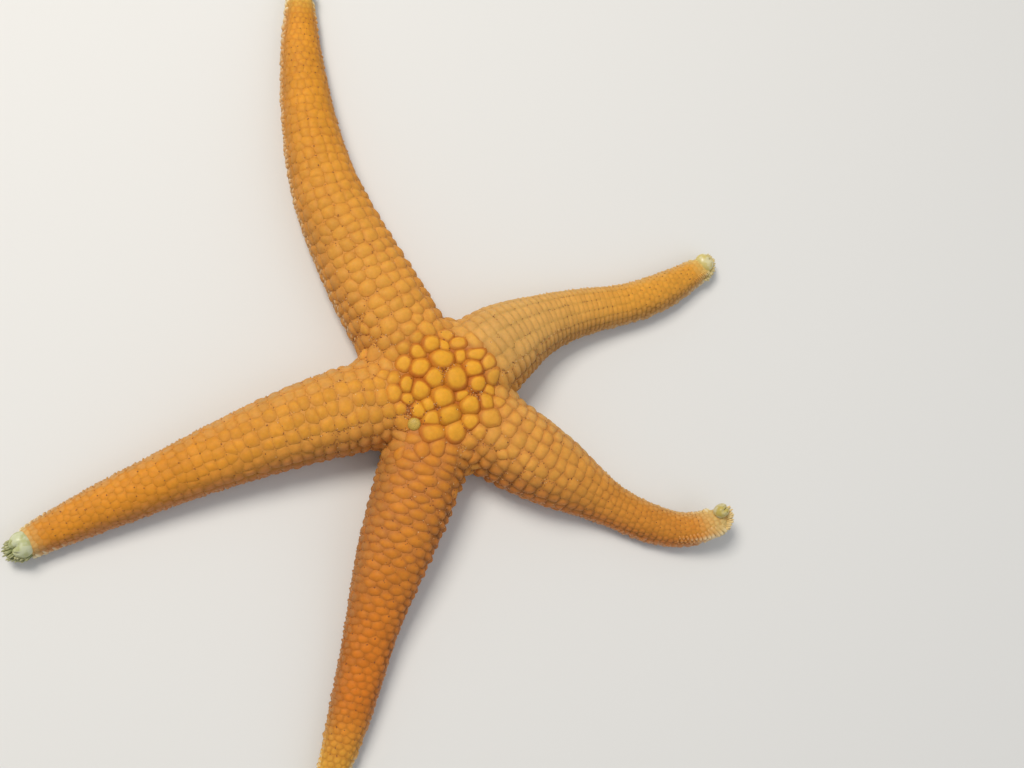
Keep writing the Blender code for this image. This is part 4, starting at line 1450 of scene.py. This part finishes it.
def spine_finish():
    """Bare calcite scales and spines: smooth and satin, their arm's colour at the root, cream at the end."""
    finish, tree, shader = new_finish("pale calcite scales", 0.45, translucent(0.15, (1.0, 0.7, 0.35), 0.6))
    height, pale = [add(tree, "Attribute", output="Fac", attribute_name=kept) for kept in ("height", "pale")]
    tint = add(tree, "Attribute", output="Color", attribute_name="tint")
    limits = {"Value": height, "From Min": 0.1, "From Max": 0.95, "To Max": 0.85}
    bleached = add(tree, "Math", {0: add(tree, "MapRange", limits, **EASED), 1: pale}, operation="MULTIPLY")
    add(tree, "Mix", {0: bleached, 6: tint, 7: "E8E0B8"}, 2, shader.inputs["Base Color"], data_type="RGBA")
    return finish


def cap_finish():
    """The end plates: glassy smooth calcite, yellow green with paler blotches that are partly painted
    highlights, and painted shade in their slits.
    """
    finish, tree, shader = new_finish("smooth end plate", 0.34, translucent(0.2, (0.9, 0.9, 0.5), 0.8))
    place = add(tree, "TexCoord", output="Object")
    blotch_and_highlight = add(tree, "TexNoise", {"Vector": place, "Scale": 1 / (1.8 * MM), "Detail": 3.0}, "Fac")
    slit = add(tree, "Attribute", output="Fac", attribute_name="slit")
    tint = add(tree, "Attribute", output="Color", attribute_name="tint")
    # pale blotches, partly painted highlights
    body = laid_over(tree, blotch_and_highlight, 0.42, 0.62, tint, "E8ECDE", 0.32)
    # painted shade: darker in the slits
    laid_over(tree, slit, 0.2, 0.9, body, "8E7A36", 0.6, shader.inputs["Base Color"])
    return finish


def foot_finish():
    """Tube feet: wet, half clear muscle, straw coloured with a paler sucker."""
    finish, tree, shader = new_finish("tube foot", 0.28, translucent(0.4, (1.0, 0.6, 0.3), 1))
    height = add(tree, "Attribute", output="Fac", attribute_name="height")
    laid_over(tree, height, 0.1, 0.45, "E8D2A0", "D9A862", to=shader.inputs["Base Color"])
    return finish


def pore_finish():
    """Skin gills: the drawn in ones dark brown pores, the rest small pale sacs, all matt."""
    finish, tree, shader = new_finish("skin gills", 0.6)
    tone = add(tree, "Attribute", output="Fac", attribute_name="tone")
    body = laid_over(tree, tone, 0.0, 0.6, "6A3818", "A86028")
    laid_over(tree, tone, 0.7, 0.95, body, "DCB47C", to=shader.inputs["Base Color"])
    return finish


def sieve_finish():
    """The madreporite: yellow green calcite, cut by fine wandering grooves that are darkened with painted
    shade.
    """
    finish, tree, shader = new_finish("sieve plate", 0.5)
    place = add(tree, "TexCoord", output="Object")
    depth = add(tree, "TexVoronoi", {"Vector": place, "Scale": 1 / (0.3 * MM)}, "Distance",
                feature="DISTANCE_TO_EDGE")
    # painted shade: darker in the grooves
    laid_over(tree, depth, 0.0, 0.16, "9C8438", "C8A648", to=shader.inputs["Base Color"])
    bumps = {"Height": depth, "Strength": 0.4, "Distance": 0.08 * MM}
    add(tree, "Bump", bumps, to=shader.inputs["Normal"])
    return finish


# The stage


def camera():
    """Nearly straight down, as the photograph looks."""
    aside, down = [math.tan(math.radians(lean)) for lean in LEAN]
    back = Vector((-aside, -down, 1)).normalized()
    right = Vector((0, 1, 0)).cross(back).normalized()
    data = bpy.data.cameras.new("camera")
    data.lens = LENS
    data.sensor_width = SENSOR
    data.clip_start = 0.01
    made = bpy.data.objects.new("camera", data)
    turn = Matrix((right, back.cross(right), back)).transposed().to_4x4()
    made.matrix_world = Matrix.Translation(DISC_CENTRE + EYE) @ turn
    bpy.context.scene.collection.objects.link(made)
    bpy.context.scene.camera = made


def light(name, place, size, power, colour):
    data = bpy.data.lights.new(name, "AREA")
    data.size = size
    data.energy = power
    data.color = paint(colour)[:3]
    made = bpy.data.objects.new(name, data)
    made.location = place
    made.rotation_euler = (Vector(place) - DISC_CENTRE).to_track_quat("Z", "Y").to_euler()
    bpy.context.scene.collection.objects.link(made)


def stage():
    """A plain pale floor under two soft lights and an even sky."""
    floor = added(bpy.ops.mesh.primitive_plane_add, size=FLOOR_SIZE, location=(0, 0, 0))
    floor.name = "floor"
    floor.data.materials.append(floor_finish())
    world = bpy.data.worlds.new("studio")
    world.use_nodes = True
    sky = world.node_tree.nodes["Background"]
    sky.inputs["Color"].default_value = paint("F2F4F6")
    sky.inputs["Strength"].default_value = 0.45
    bpy.context.scene.world = world
    for lamp in LIGHTS:
        light(*lamp)
    bpy.context.scene.view_settings.view_transform = "Standard"


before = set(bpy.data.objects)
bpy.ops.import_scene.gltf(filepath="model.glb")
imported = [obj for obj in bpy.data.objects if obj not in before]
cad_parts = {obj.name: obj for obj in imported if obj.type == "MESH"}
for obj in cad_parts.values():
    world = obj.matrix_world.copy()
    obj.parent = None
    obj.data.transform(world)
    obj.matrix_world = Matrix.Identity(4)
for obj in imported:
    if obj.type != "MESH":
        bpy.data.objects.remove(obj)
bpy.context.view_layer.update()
camera()
stage()
body = skin()
flesh = [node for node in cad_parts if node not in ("mouth", "madreporite")]
wet_skin = skin_finish()
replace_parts(settled(body, "skin", wet_skin), *flesh)
surface = Surface(body)
sites = all_sites(surface)
under = sole_sites(surface)
tint_skin(body, sites + under)
covers = plates(surface, sites + under, {
    "arm_plates": plate_finish("arm plates", 0.45), "disc_plates": plate_finish("disc plates", 0.68)
})
spine = spine_finish()
gill = pore_finish()
edge_scales(surface, spine)
furrow_spines(spine)
tube_feet(foot_finish())
pores(surface, covers, gill)
specks(surface, sites, covers, gill)
end_caps(cap_finish())
tip_fingers(surface, spine)
jaws(spine)
sieve(surface, sieve_finish())
tint_skin(mouth(wet_skin), under)
